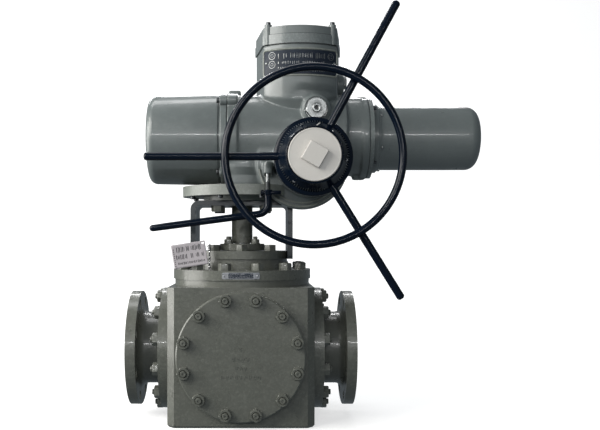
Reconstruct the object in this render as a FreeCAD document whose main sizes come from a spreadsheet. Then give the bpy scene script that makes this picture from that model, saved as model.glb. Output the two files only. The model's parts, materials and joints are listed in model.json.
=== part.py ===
"""Motor-operated multi-port ball valve with a quarter-turn electric actuator.

Millimetres. Origin: stem axis at the underside of the valve body. +Z up the stem, -Y towards the handwheel.
Driving dimensions live in the spreadsheet; every sub-part is a document object bound to its cells.
"""
import math
import os
import re

import FreeCAD, Part
from FreeCAD import Placement, Rotation, Vector

DIMENSIONS = {
    # valve body and ports
    "body_width": 340, "body_height": 322, "body_chamfer": 17, "port_height": 165, "port_bore": 76,
    "cavity_radius": 124, "top_opening": 118, "body_ring_radius": 166, "body_ring_top": 337.5,
    "spigot_radius": 100, "spigot_inner": 124, "cover_radius": 148, "cover_thickness": 24,
    "cover_bolt_circle": 133.5, "neck_radius": 88, "neck_fillet": 18,
    "pipe_flange_radius": 139.7, "pipe_flange_thickness": 25.4, "pipe_face": 273,
    "pipe_bolt_circle": 120.65, "pipe_hole": 11.1, "raised_face_radius": 108, "raised_face": 1.6,
    # fasteners
    "nut_corner": 15.6, "nut_thickness": 13, "stud_radius": 8, "stud_tip": 5,
    "bonnet_nut_height": 17, "bolt_head_height": 14.5,
    # ball, seats and stem
    "ball_radius": 112, "seat_gap": 0.4, "seat_outer": 98, "seat_inner": 77, "seat_start": 68,
    "stem_radius": 20, "stem_top": 596, "stem_collar": 30, "running_gap": 0.05, "trunnion_radius": 25,
    # bonnet and gland
    "bonnet_radius": 169.5, "bonnet_top": 360.5, "bonnet_bolt_circle": 147, "bonnet_neck_radius": 112,
    "bonnet_neck_top": 386, "bonnet_plug_bottom": 296, "packing_radius": 32, "gland_radius": 55,
    "gland_bottom": 406, "gland_top": 422.5, "gland_stud_offset": 33, "sleeve_radius": 26,
    # yoke
    "foot_ring_radius": 117, "foot_ring_top": 405, "yoke_half_width": 123, "yoke_plate": 12.5,
    "yoke_half_depth": 75, "yoke_top": 527, "yoke_top_plate": 12.5, "yoke_corner": 22,
    "foot_bolt_circle": 80, "yoke_bolt_circle": 82.5,
    # actuator housing
    "axis_height": 680, "barrel_radius": 110, "barrel_wall": 9, "housing_flange_left": -35.4,
    "housing_flange_right": -9.2, "housing_flange_radius": 115, "barrel_end": 252,
    "gear_center_x": 145, "gear_center_z": 613, "gear_case_radius": 109, "gear_case_depth": 106,
    "turret_x": 141, "turret_half_width": 98, "turret_taper": 0.143, "turret_front": 105,
    "turret_arc": 132, "turret_top": 899,
    "turret_foot": 742, "turret_bottom": 800, "turret_corner": 128,
    "column_radius": 90, "terminal_cover_top": 941, "terminal_lug_x": 77, "terminal_lug_y": 76,
    "base_radius": 147, "base_bottom": 537.5, "base_top": 562, "base_boss_radius": 95,
    "pedestal_radius": 100, "vent_x": 177, "vent_z": 742,
    # motor
    "throat_radius": 97, "throat_height": 688,
    "motor_height": 684, "motor_flange_radius": 99, "motor_flange_left": 290, "motor_adapter_left": 308,
    "motor_adapter_right": 317.5, "motor_collar_radius": 86, "motor_collar_end": 337, "motor_radius": 78,
    "motor_end": 582, "motor_wall": 6, "motor_corner": 28, "motor_shaft_radius": 11,
    # control cover
    "control_end": -230, "control_flange_left": -52, "control_radius": 111, "control_wall": 6,
    "control_corner": 20, "lug_circle": 121, "lug_radius": 12,
    # handwheel and its drive
    "wheel_x": 162.7, "wheel_z": 617.3, "hub_back": -197, "hub_radius": 88.3, "cap_radius": 59.2,
    "cap_face": -267, "cap_depth": 11, "bar_plane": -222, "bar_radius": 9.1, "bar_reach": 378,
    "rim_radius": 196, "rim_tube": 8.9, "wheel_shaft_radius": 12, "boss_radius": 85.4, "boss_front": -193,
    # worm, gears and output
    "worm_y": 50, "worm_radius": 13.6, "worm_wheel_radius": 36, "worm_shaft_radius": 9,
    "drive_sleeve_radius": 31, "drive_sleeve_top": 705, "spur_left": 200, "spur_width": 15,
    "pinion_radius": 34.9, "spur_radius": 48, "bevel_back": 26, "bevel_front": 14, "bevel_gap": 0.5,
    # lever
    "lever_x": 62, "lever_y": -147, "lever_collar_top": 548, "lever_collar_radius": 10.5, "lever_rod": 8.2,
    "lever_stud": 6.2, "lever_arm_bottom": 584,
}

doc = FreeCAD.newDocument("MotorOperatedValve")
sheet = doc.addObject("Spreadsheet::Sheet", "Sizes")
for row, (alias, number) in enumerate(DIMENSIONS.items(), start=1):
    sheet.set("A%d" % row, alias)
    sheet.set("B%d" % row, str(number))
    sheet.setAlias("B%d" % row, alias)
doc.recompute()

AXES = {"Z": Rotation(), "X": Rotation(Vector(0, 1, 0), 90), "Y": Rotation(Vector(1, 0, 0), -90)}
BAR_ANGLES = (0, 118.4, 238.2)
NODES = []


def bound(text):
    """Prefix every dimension name in an expression with the sheet's name."""
    def prefixed(match):
        word = match.group(0)
        return "Sizes." + word if word in DIMENSIONS else word
    return re.sub(r"[a-z_][a-z_0-9]*", prefixed, str(text))


def primitive(kind, sizes, at=(0, 0, 0), rotation=None):
    """A Part primitive whose sizes and position are bound to the sheet."""
    item = doc.addObject("Part::" + kind, "shape")
    for name, text in sizes.items():
        item.setExpression(name, bound(text))
    item.Placement = Placement(Vector(0, 0, 0), rotation or Rotation())
    for letter, text in zip("xyz", at):
        item.setExpression("Placement.Base." + letter, bound(text))
    return item


def cylinder(radius, length, at=(0, 0, 0), axis="Z"):
    return primitive("Cylinder", {"Radius": radius, "Height": length}, at, AXES[axis])


def cone(radius, far_radius, length, at=(0, 0, 0), axis="Z"):
    return primitive("Cone", {"Radius1": radius, "Radius2": far_radius, "Height": length}, at, AXES[axis])


def box(length, width, height, at):
    """Box of the given size, centred on at in X and Y and standing on it in Z."""
    corner = ("(%s) - (%s)/2" % (at[0], length), "(%s) - (%s)/2" % (at[1], width), at[2])
    return primitive("Box", {"Length": length, "Width": width, "Height": height}, corner)


def torus(ring, tube, at, axis="Z"):
    return primitive("Torus", {"Radius1": ring, "Radius2": tube}, at, AXES[axis])


def sphere(radius, at):
    return primitive("Sphere", {"Radius": radius}, at)


def hexagon(corner, height, at, axis="Z"):
    item = primitive("Prism", {"Circumradius": corner, "Height": height}, at, AXES[axis])
    item.Polygon = 6
    return item


def fuse(*items):
    if len(items) == 1:
        return items[0]
    joined = doc.addObject("Part::MultiFuse", "joined")
    joined.Shapes = list(items)
    return joined


def cut(base, *tools):
    remaining = doc.addObject("Part::Cut", "remaining")
    remaining.Base = base
    remaining.Tool = fuse(*tools)
    return remaining


def common(*items):
    overlap = doc.addObject("Part::MultiCommon", "overlap")
    overlap.Shapes = list(items)
    return overlap


def group(items):
    collected = doc.addObject("Part::Compound", "collected")
    collected.Links = list(items)
    return collected


def rounded(item, radius, edges):
    """Fillet the numbered edges of a shape."""
    doc.recompute()
    smooth = doc.addObject("Part::Fillet", "smooth")
    smooth.Base = item
    smooth.Edges = [(number, radius, radius) for number in edges]
    return smooth


def node(label, item):
    item.Label = label
    NODES.append(item)
    return item


def circle_points(count, radius, start=0.0):
    """Points of a bolt circle as (across, up) pairs."""
    for index in range(count):
        angle = math.radians(start + index * 360.0 / count)
        yield radius * math.cos(angle), radius * math.sin(angle)


# ---------------------------------------------------------------- valve body, ports and covers
SIDES = {"left": Rotation(Vector(0, 0, 1), 180), "right": Rotation(), "rear": Rotation(Vector(0, 0, 1), 90),
         "front": Rotation(Vector(0, 0, 1), -90)}


def turned(item, side):
    """Turn a piece drawn on the +X side about the stem axis on to another side."""
    item.Placement = Placement(Vector(0, 0, 0), SIDES[side])
    return item


def valve_body():
    block = box("body_width", "body_width", "body_height", (0, 0, 0))
    doc.recompute()
    chamfered = doc.addObject("Part::Chamfer", "chamfered")
    chamfered.Base = block
    upright = [n for n, edge in enumerate(block.Shape.Edges, start=1)
               if abs(edge.tangentAt(edge.FirstParameter).z) > 0.9]
    floor = [n for n, edge in enumerate(block.Shape.Edges, start=1) if edge.BoundBox.ZMax < 1]
    size = DIMENSIONS["body_chamfer"]
    chamfered.Edges = [(n, size, size) for n in upright] + [(n, 5, 5) for n in floor]
    ring = cylinder("body_ring_radius", "body_ring_top - body_height", (0, 0, "body_height"))
    centre = (0, 0, "port_height")
    bore_x = cylinder("spigot_radius + 0.3", "body_width + 2", ("-body_width/2 - 1", 0, "port_height"), "X")
    bore_y = cylinder("spigot_radius + 0.3", "body_width + 2", (0, "-body_width/2 - 1", "port_height"), "Y")
    top_way = cylinder("top_opening", "body_ring_top", centre)
    pin_hole = cylinder("trunnion_radius", 40, (0, 0, 18))
    return cut(fuse(chamfered, ring), sphere("cavity_radius", centre), bore_x, bore_y, top_way, pin_hole)


def port_adapter(side):
    face = "body_width/2"
    spigot = cylinder("spigot_radius", "body_width/2 - spigot_inner", ("spigot_inner", 0, "port_height"), "X")
    disc = cylinder("cover_radius", "cover_thickness", (face, 0, "port_height"), "X")
    flange_back = "pipe_face - pipe_flange_thickness"
    neck = cylinder("neck_radius", "%s - %s" % (flange_back, face), (face, 0, "port_height"), "X")
    flange = cylinder("pipe_flange_radius", "pipe_flange_thickness - raised_face",
                      (flange_back, 0, "port_height"), "X")
    raised = cylinder("raised_face_radius", "raised_face", ("pipe_face - raised_face", 0, "port_height"), "X")
    ring = cylinder("neck_radius + neck_fillet", "neck_fillet",
                    ("%s - neck_fillet" % flange_back, 0, "port_height"), "X")
    groove = torus("neck_radius + neck_fillet", "neck_fillet",
                   ("%s - neck_fillet" % flange_back, 0, "port_height"), "X")
    inner_disc = "body_width/2 + cover_thickness"
    inner_ring = cylinder("neck_radius + 10", 10, (inner_disc, 0, "port_height"), "X")
    inner_groove = torus("neck_radius + 10", 10, (inner_disc + " + 10", 0, "port_height"), "X")
    bore = cylinder("port_bore", "pipe_face", (100, 0, "port_height"), "X")
    holes = [cylinder("pipe_hole", "pipe_flange_thickness + 2",
                      (flange_back + " - 1", across, "port_height + %.4f" % up), "X")
             for across, up in circle_points(8, DIMENSIONS["pipe_bolt_circle"], 22.5)]
    body = fuse(spigot, disc, neck, flange, raised, cut(ring, groove), cut(inner_ring, inner_groove))
    return turned(cut(body, bore, *holes), side)


def front_blind_cover():
    spigot = cylinder("spigot_radius", "body_width/2 - spigot_inner", ("spigot_inner", 0, "port_height"), "X")
    disc = cylinder("cover_radius", "cover_thickness - 3", ("body_width/2", 0, "port_height"), "X")
    rim_start = ("body_width/2 + cover_thickness - 3", 0, "port_height")
    rim = cone("cover_radius", "cover_radius - 3", 3, rim_start, "X")
    return turned(fuse(spigot, disc, rim), "front")


def cover_nuts(side):
    """Twelve studs with hex nuts on one cover's bolt circle."""
    outer = "body_width/2 + cover_thickness"
    fasteners = []
    for across, up in circle_points(12, DIMENSIONS["cover_bolt_circle"], 15):
        height = "port_height + %.4f" % up
        stud = cylinder("stud_radius", "nut_thickness + stud_tip", (outer, across, height), "X")
        nut = hexagon("nut_corner", "nut_thickness", (outer, across, height), "X")
        fasteners.append(turned(fuse(stud, nut), side))
    return fasteners


def seat_ring(side):
    ring = cylinder("seat_outer", "spigot_inner - seat_start", ("seat_start", 0, "port_height"), "X")
    way = cylinder("seat_inner", "body_width", (0, 0, "port_height"), "X")
    ball_room = sphere("ball_radius + seat_gap", (0, 0, "port_height"))
    return turned(cut(ring, way, ball_room), side)


def valve_ball():
    centre = (0, 0, "port_height")
    left_bore = cylinder("port_bore", "ball_radius + 5", ("-ball_radius - 5", 0, "port_height"), "X")
    rear_bore = cylinder("port_bore", "ball_radius + 5", (0, 0, "port_height"), "Y")
    elbow = sphere("port_bore", centre)
    slot = box(44, 22, 40, (0, 0, "port_height + ball_radius - 24"))
    pin_hole = cylinder("trunnion_radius + running_gap", 60, (0, 0, "port_height - ball_radius - 28"))
    return cut(sphere("ball_radius", centre), left_bore, rear_bore, elbow, slot, pin_hole)


def valve_stem():
    ball_top = "port_height + ball_radius"
    tang = box(44, 22, 32, (0, 0, ball_top + " - 24"))
    collar = cylinder("stem_collar", 8, (0, 0, ball_top + " + 4"))
    rod = cylinder("stem_radius", "stem_top - (%s + 4)" % ball_top, (0, 0, ball_top + " + 4"))
    return fuse(tang, collar, rod)


def bonnet():
    flange = cylinder("bonnet_radius", "bonnet_top - body_ring_top", (0, 0, "body_ring_top"))
    neck = cylinder("bonnet_neck_radius", "bonnet_neck_top - bonnet_top", (0, 0, "bonnet_top"))
    plug = cylinder("top_opening - 0.3", "body_ring_top - bonnet_plug_bottom", (0, 0, "bonnet_plug_bottom"))
    bush_hole = cylinder(26, 60, (0, 0, "bonnet_plug_bottom - 1"))
    packing_hole = cylinder("packing_radius", 60, (0, 0, "body_ring_top"))
    return cut(fuse(flange, neck, plug), bush_hole, packing_hole)


def bonnet_nuts():
    fasteners = []
    for x, y in circle_points(12, DIMENSIONS["bonnet_bolt_circle"], 15):
        stud = cylinder("stud_radius", "bonnet_nut_height + 1", (x, y, "bonnet_top"))
        fasteners.append(fuse(stud, hexagon("nut_corner", "bonnet_nut_height", (x, y, "bonnet_top"))))
    return group(fasteners)


def ring(outer, inner, height, at, axis="Z"):
    """Plain tube; its bore runs past both faces."""
    shift = {"X": (-1, 0, 0), "Y": (0, -1, 0), "Z": (0, 0, -1)}[axis]
    start = tuple("(%s) + %d" % (text, step) for text, step in zip(at, shift))
    return cut(cylinder(outer, height, at, axis), cylinder(inner, "(%s) + 2" % height, start, axis))


def gland_flange():
    plate = cylinder("gland_radius", "gland_top - gland_bottom", (0, 0, "gland_bottom"))
    nose = cylinder("packing_radius - 0.3", 28, (0, 0, "gland_bottom - 28"))
    return cut(fuse(plate, nose), cylinder("stem_radius + 0.5", 60, (0, 0, "gland_bottom - 30")))


def gland_nuts():
    fasteners = []
    for sign_x in (-1, 1):
        for sign_y in (-1, 1):
            spot = ("%d*gland_stud_offset" % sign_x, "%d*gland_stud_offset" % sign_y, "gland_top")
            fasteners.append(fuse(cylinder(6, 18, spot), hexagon(10.4, 11, spot)))
    return group(fasteners)


# ---------------------------------------------------------------- yoke
def yoke_bracket():
    outer = box("2*yoke_half_width", "2*yoke_half_depth", "yoke_top - bonnet_neck_top",
                (0, 0, "bonnet_neck_top"))
    doc.recompute()
    top_corners = [n for n, edge in enumerate(outer.Shape.Edges, start=1)
                   if edge.BoundBox.ZMin > DIMENSIONS["yoke_top"] - 1 and edge.BoundBox.XLength < 1]
    bend = rounded(outer, DIMENSIONS["yoke_corner"], top_corners)
    window = box("2*(yoke_half_width - yoke_plate)", "2*yoke_half_depth + 2",
                 "yoke_top - yoke_top_plate - bonnet_neck_top + 1", (0, 0, "bonnet_neck_top - 1"))
    doc.recompute()
    window_corners = [n for n, edge in enumerate(window.Shape.Edges, start=1)
                      if edge.BoundBox.ZMin > DIMENSIONS["foot_ring_top"] and edge.BoundBox.XLength < 1]
    inner_bend = rounded(window, DIMENSIONS["yoke_corner"] - DIMENSIONS["yoke_plate"], window_corners)
    plate = cut(bend, inner_bend, cylinder(36, 60, (0, 0, "yoke_top - 40")))
    foot = common(cylinder("foot_ring_radius", "foot_ring_top - bonnet_neck_top", (0, 0, "bonnet_neck_top")),
                  box("2*yoke_half_width - yoke_plate", 300, 100, (0, 0, "bonnet_neck_top - 20")))
    return fuse(plate, cut(foot, cylinder("packing_radius + 6", 60, (0, 0, "bonnet_neck_top - 20"))))


def yoke_foot_bolts():
    return group([hexagon("nut_corner", "bolt_head_height", (x, y, "foot_ring_top"))
                  for x, y in circle_points(6, DIMENSIONS["foot_bolt_circle"], 30)])


def yoke_top_bolts():
    underside = "yoke_top - yoke_top_plate - bolt_head_height"
    return group([hexagon("nut_corner", "bolt_head_height", (x, y, underside))
                  for x, y in circle_points(4, DIMENSIONS["yoke_bolt_circle"], 45)])


# ---------------------------------------------------------------- actuator castings
def drive_base():
    disc = cylinder("base_radius", "base_top - base_bottom", (0, 0, "base_bottom"))
    boss = cylinder("base_boss_radius", "base_bottom - yoke_top", (0, 0, "yoke_top"))
    case_side = cylinder("gear_case_radius", "2*gear_case_depth",
                         ("gear_center_x", "-gear_case_depth", "gear_center_z"), "Y")
    shaft_boss = cylinder("boss_radius", 120, ("wheel_x", "boss_front", "wheel_z"), "Y")
    return cut(fuse(disc, boss), cylinder(39, 60, (0, 0, "yoke_top - 5")), case_side, shaft_boss)


def drive_base_screws():
    """Screws under the base flange, apart from the two places that the gear case covers."""
    return group([cylinder(6.5, 7, (x, y, "base_bottom - 7"))
                  for x, y in circle_points(8, 128, 22.5) if x < 100])


def turret_outline(inset, bottom, top):
    """Upright prism with curved front and back and flat sides."""
    height = "(%s) - (%s)" % (top, bottom)
    offset = "(turret_arc - turret_front)"
    front_arc = cylinder("turret_arc - %s" % inset, height, ("turret_x", offset, bottom))
    back_arc = cylinder("turret_arc - %s" % inset, height, ("turret_x", "-" + offset, bottom))
    sides = doc.addObject("Part::Wedge", "sides")
    reach = 150
    for end, letter, sign in (("X", "min", -1), ("X", "max", 1), ("X2", "min", -1), ("X2", "max", 1)):
        lean = -reach if end == "X" else reach
        sides.setExpression(end + letter, bound("turret_x + %d*(turret_half_width - %s + turret_taper*%d)"
                                                % (sign, inset, lean)))
    for name, text in (("Ymin", -reach), ("Ymax", reach), ("Zmin", bottom), ("Z2min", bottom),
                       ("Zmax", top), ("Z2max", top)):
        sides.setExpression(name, bound(text))
    return common(front_arc, back_arc, sides)


def lugs(left, length):
    """Four screw lugs round the control compartment flange."""
    return [cylinder("lug_radius", length, (left, across, "axis_height + %.4f" % up), "X")
            for across, up in circle_points(4, DIMENSIONS["lug_circle"], 45)]


def gear_housing():
    barrel = cylinder("barrel_radius", "barrel_end - housing_flange_left",
                      ("housing_flange_left", 0, "axis_height"), "X")
    end_flange = cylinder("housing_flange_radius", "housing_flange_right - housing_flange_left",
                          ("housing_flange_left", 0, "axis_height"), "X")
    case = cylinder("gear_case_radius", "2*gear_case_depth",
                    ("gear_center_x", "-gear_case_depth", "gear_center_z"), "Y")
    bowl = rounded(case, 28, [1, 3])
    column = cylinder("column_radius", "turret_foot - gear_center_z", ("turret_x", 0, "gear_center_z"))
    taper = cone("column_radius", "turret_corner", "turret_bottom - turret_foot",
                 ("turret_x", 0, "turret_foot"))
    shoulder = common(turret_outline(0, "turret_foot", "turret_bottom"), taper)
    turret = turret_outline(0, "turret_bottom", "turret_top")
    throat = cylinder("throat_radius", "motor_flange_left + 22 - barrel_end",
                      ("barrel_end - 20", 0, "throat_height"), "X")
    motor_flange = cylinder("motor_flange_radius", "motor_adapter_left - motor_flange_left",
                            ("motor_flange_left", 0, "motor_height"), "X")
    boss = cylinder("boss_radius", "20 - gear_case_depth - boss_front", ("wheel_x", "boss_front", "wheel_z"), "Y")
    plug_boss = cylinder(34, 40, ("vent_x", -112, "vent_z"), "Y")
    pedestal = common(cylinder("pedestal_radius", 60, (0, 0, "base_top")),
                      box(300, 300, 80, ("housing_flange_left + 150", 0, "base_top - 5")))
    lever_arm = fuse(cylinder("lever_collar_radius", 30, ("lever_x", "lever_y", "lever_arm_bottom")),
                     box("2*lever_collar_radius", 80, 30, ("lever_x", "lever_y + 40", "lever_arm_bottom")))
    pads = [box(30, 26, 14, (-18, 0, "axis_height + housing_flange_radius - 6")),
            box(26, 24, 12, ("motor_adapter_left - 13", 0, "motor_height + motor_flange_radius - 8")),
            box(30, 24, 12, ("motor_adapter_left - 19", 0, "motor_height - motor_flange_radius - 4"))]
    outside = fuse(barrel, end_flange, bowl, column, shoulder, turret, throat, motor_flange, boss, plug_boss, pedestal,
                   lever_arm, *(lugs("housing_flange_left", 26) + pads))
    partition = "housing_flange_left + 11"
    hollow = [
        cylinder("barrel_radius - barrel_wall", 236 - DIMENSIONS["housing_flange_left"] - 11,
                 (partition, 0, "axis_height"), "X"),
        cylinder("barrel_radius - barrel_wall", 4, ("housing_flange_left - 1", 0, "axis_height"), "X"),
        cut(cylinder("gear_case_radius - 9", "2*gear_case_depth - 14",
                     ("gear_center_x", "7 - gear_case_depth", "gear_center_z"), "Y"),
            box(300, 300, 100, ("gear_center_x", 0, "yoke_top - 91"))),
        box(300, 200, 100, ("gear_center_x", "100 - yoke_half_depth - 1", "yoke_top - 99.7")),
        cylinder("column_radius - 14", 240, ("turret_x", 0, "axis_height")),
        cylinder(88, 60, ("turret_x", 0, "turret_top - 59")),
        cylinder(80, 70, (249, 0, "motor_height"), "X"),
        cylinder(42, 161, (0, 0, "base_top - 1")),
        cylinder(22, "12 - gear_case_depth - boss_front", ("wheel_x", "boss_front - 1", "wheel_z"), "Y"),
        cylinder(20, 24, ("housing_flange_left - 1", "worm_y", "wheel_z"), "X"),
        cylinder(20, 40, (225, "worm_y", "wheel_z"), "X"),
        cylinder(24, 40, (225, 0, "motor_height"), "X"),
        cylinder("lever_stud + running_gap", 60, ("lever_x", "lever_y", 570)),
    ]
    hollow += [cylinder(22, 30, (x, 98, 862), "Y") for x in (96, 141, 186)]
    bridge = box(44, "2*(barrel_radius - 5)", 14, (0, 0, 684))
    sleeve_seat = cylinder(50, 14, (0, 0, 684))
    bearing_hole = cylinder(42, 30, (0, 0, 680))
    return fuse(cut(outside, *hollow), cut(fuse(bridge, sleeve_seat), bearing_hole))


def terminal_cover():
    step = 22.5
    lower = turret_outline(-3, "turret_top", "turret_top + %s" % step)
    upper = turret_outline(-1, "turret_top + %s" % step, "terminal_cover_top")
    corner_lugs = [cylinder(9, 50, ("turret_x + %d*terminal_lug_x" % sx, "%d*terminal_lug_y" % sy, 897))
                   for sx in (-1, 1) for sy in (-1, 1)]
    hollow = cylinder(86, 34, ("turret_x", 0, "turret_top - 1"))
    slab = box(400, 400, 60, ("turret_x", 0, "turret_top"))
    return cut(fuse(lower, upper, common(fuse(*corner_lugs), slab)), hollow)


def terminal_cover_screws():
    return group([cylinder(6, 7, ("turret_x + %d*terminal_lug_x" % sx, "%d*terminal_lug_y" % sy, 947))
                  for sx in (-1, 1) for sy in (-1, 1)])


def terminal_nameplate():
    band = ring("turret_arc + 1.5", "turret_arc", 64, ("turret_x", "turret_arc - turret_front", 818))
    return common(band, box(176, 90, 64, ("turret_x", "-turret_front + 15", 818)))


def bonnet_nameplate():
    band = ring("bonnet_radius + 1.5", "bonnet_radius", 15, (0, 0, "body_ring_top + 4"))
    return common(band, box(87, 60, 15, (2, "-bonnet_radius + 15", "body_ring_top + 4")))


def vent_plug():
    plug = fuse(hexagon(26.7, 9, ("vent_x", -121, "vent_z"), "Y"),
                cylinder(22, 6, ("vent_x", -127, "vent_z"), "Y"))
    return cut(plug, cylinder(6, 10, ("vent_x", -129, "vent_z"), "Y"))


def conduit_plugs():
    """Blanked cable entries on the turret's hidden rear side."""
    return group([fuse(cylinder(22, 14, (x, 98, 862), "Y"), hexagon(19, 10, (x, 112, 862), "Y"))
                  for x in (96, 141, 186)])


def control_cover():
    length = "control_flange_left - control_end"
    shell = cone("control_radius - 1", "control_radius + 1", length, ("control_end", 0, "axis_height"), "X")
    doc.recompute()
    end_edge = [n for n, edge in enumerate(shell.Shape.Edges, start=1)
                if edge.BoundBox.XMax < DIMENSIONS["control_end"] + 1]
    smooth = rounded(shell, DIMENSIONS["control_corner"], end_edge)
    flange = cylinder("housing_flange_radius", "housing_flange_left - control_flange_left",
                      ("control_flange_left", 0, "axis_height"), "X")
    room = cylinder("control_radius - 9", "housing_flange_left - control_end",
                    ("control_end + control_wall", 0, "axis_height"), "X")
    return cut(fuse(smooth, flange, *lugs("control_flange_left", 16.6)), room)


def control_cover_screws():
    return group([cylinder(7, 8, ("control_flange_left - 8", across, "axis_height + %.4f" % up), "X")
                  for across, up in circle_points(4, DIMENSIONS["lug_circle"], 45)])


# ---------------------------------------------------------------- motor
def motor_adapter():
    disc = cylinder("motor_flange_radius", "motor_adapter_right - motor_adapter_left",
                    ("motor_adapter_left", 0, "motor_height"), "X")
    return cut(disc, cylinder(40, 60, ("motor_adapter_left - 5", 0, "motor_height"), "X"))


def motor_housing():
    collar = cylinder("motor_collar_radius", "motor_collar_end - motor_adapter_right",
                      ("motor_adapter_right", 0, "motor_height"), "X")
    can = cylinder("motor_radius", "motor_end - motor_adapter_right",
                   ("motor_adapter_right", 0, "motor_height"), "X")
    doc.recompute()
    far_edge = [n for n, edge in enumerate(can.Shape.Edges, start=1)
                if edge.BoundBox.XMin > DIMENSIONS["motor_end"] - 1]
    smooth = rounded(can, DIMENSIONS["motor_corner"], far_edge)
    room = cylinder("motor_radius - motor_wall", 240, ("motor_adapter_right - 1", 0, "motor_height"), "X")
    bearing_room = cylinder(24, 20, (550, 0, "motor_height"), "X")
    return cut(fuse(collar, smooth), room, bearing_room)


def motor_bolts():
    return group([hexagon(4.6, 8, ("motor_adapter_right", across, "motor_height + %.4f" % up), "X")
                  for across, up in circle_points(4, 93, 45)])


def motor_rotor():
    shaft = cylinder("motor_shaft_radius", 368, (198, 0, "motor_height"), "X")
    return fuse(shaft, cylinder(45, 150, (375, 0, "motor_height"), "X"))


def toothed(radius_name, depth, teeth, width, start, axis, bore):
    """Spur gear with straight-sided tooth gaps; start is the centre of its first face."""
    outer = DIMENSIONS[radius_name]
    gap_width = math.pi * outer / teeth
    gaps = [cylinder(bore, width + 2, start_behind(start, axis), axis)]
    for index in range(teeth):
        turn = AXES[axis].multiply(Rotation(Vector(0, 0, 1), index * 360.0 / teeth))
        gap = doc.addObject("Part::Box", "gap")
        gap.Length = 2 * depth
        gap.Width = gap_width
        gap.Height = width + 2
        gap.Placement = Placement(Vector(*start) + turn.multVec(Vector(outer - depth, -gap_width / 2, -1)), turn)
        gaps.append(gap)
    return cut(cylinder(radius_name, width, start, axis), *gaps)


def start_behind(start, axis):
    return tuple(value - (1 if letter == axis else 0) for letter, value in zip("XYZ", start))


# ---------------------------------------------------------------- output, worm and gears
D = DIMENSIONS


def worm_wheel():
    return toothed("worm_wheel_radius", 2.4, 60, 24, (0, 0, D["wheel_z"] - 12), "Z", "drive_sleeve_radius")


def drive_sleeve():
    return ring("drive_sleeve_radius", "sleeve_radius", "drive_sleeve_top - 540", (0, 0, 540))


def drive_sleeve_bearings():
    inner = "drive_sleeve_radius + running_gap"
    lower = ring(39, inner, 16, (0, 0, 544))
    upper = ring(42, inner, 14, (0, 0, 684))
    return group([lower, upper])


def worm_shaft():
    """Shaft with the worm in its middle; the thread is drawn as closed ridges."""
    shaft = cylinder("worm_shaft_radius", 266, (-32, "worm_y", "wheel_z"), "X")
    core = cylinder("worm_radius - 2", 50, (-23, "worm_y", "wheel_z"), "X")
    ridges = [cylinder("worm_radius", 2, (-22 + 4 * index, "worm_y", "wheel_z"), "X") for index in range(12)]
    return fuse(shaft, core, *ridges)


def worm_shaft_bearings():
    return group([ring(20, "worm_shaft_radius + running_gap", 8, (x, "worm_y", "wheel_z"), "X")
                  for x in (-33.4, 227)])


def worm_shaft_gear():
    start = (D["spur_left"], D["worm_y"], D["wheel_z"])
    return toothed("spur_radius", 5, 33, D["spur_width"], start, "X", "worm_shaft_radius")


def motor_pinion():
    start = (D["spur_left"], 0, D["motor_height"])
    return toothed("pinion_radius", 5, 24, D["spur_width"], start, "X", "motor_shaft_radius")


def bevel_gear():
    start = ("wheel_x - bevel_back", "worm_y", "wheel_z")
    teeth = cone("bevel_back - bevel_gap", "bevel_front - bevel_gap", "bevel_back - bevel_front", start, "X")
    hub = cylinder(18, 8, ("wheel_x - bevel_back - 8", "worm_y", "wheel_z"), "X")
    return cut(fuse(teeth, hub), cylinder("worm_shaft_radius", 40, ("wheel_x - bevel_back - 10", "worm_y",
                                                                     "wheel_z"), "X"))


def bevel_pinion():
    start = ("wheel_x", "worm_y - bevel_back", "wheel_z")
    teeth = cone("bevel_back - bevel_gap", "bevel_front - bevel_gap", "bevel_back - bevel_front", start, "Y")
    hub = cone(22, 18, 14, ("wheel_x", "worm_y - bevel_back - 14", "wheel_z"), "Y")
    bore = cylinder("worm_shaft_radius - 1 + running_gap", 60, ("wheel_x", 0, "wheel_z"), "Y")
    return cut(fuse(teeth, hub), bore)


def clutch_sleeve():
    body = cylinder(22, 16, ("wheel_x", -16, "wheel_z"), "Y")
    groove = ring(30, 18, 5, ("wheel_x", -11, "wheel_z"), "Y")
    bore = cylinder("wheel_shaft_radius + running_gap", 40, ("wheel_x", -30, "wheel_z"), "Y")
    return cut(body, groove, bore)


def handwheel_shaft():
    start = "cap_face + cap_depth + 1"
    body = cylinder("wheel_shaft_radius", "8 - (%s)" % start, ("wheel_x", start, "wheel_z"), "Y")
    nose = cylinder("worm_shaft_radius - 1", 34, ("wheel_x", 0, "wheel_z"), "Y")
    return fuse(body, nose)


def handwheel_bush():
    return ring(22, "wheel_shaft_radius + running_gap", 46, ("wheel_x", "boss_front", "wheel_z"), "Y")


def handwheel_hub():
    back = cylinder("hub_radius", 28, ("wheel_x", "hub_back - 28", "wheel_z"), "Y")
    dome = cone("cap_radius + 3", "hub_radius", 40, ("wheel_x", "hub_back - 68", "wheel_z"), "Y")
    bore = cylinder("wheel_shaft_radius", 100, ("wheel_x", "hub_back - 80", "wheel_z"), "Y")
    recess = cylinder("cap_radius", "cap_depth", ("wheel_x", "cap_face", "wheel_z"), "Y")
    sockets = [bar(60, 40, angle) for angle in BAR_ANGLES]
    return cut(fuse(back, dome), bore, recess, *sockets)


def bar(start, length, angle):
    """Straight round bar from the wheel axis outwards; angle 0 points to -X."""
    turn = Rotation(Vector(0, 1, 0), -90 + angle)
    rod = doc.addObject("Part::Cylinder", "bar")
    rod.setExpression("Radius", bound("bar_radius"))
    rod.Height = length
    rod.Placement = Placement(Vector(D["wheel_x"], D["bar_plane"], D["wheel_z"])
                              + turn.multVec(Vector(0, 0, start)), turn)
    return rod


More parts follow.
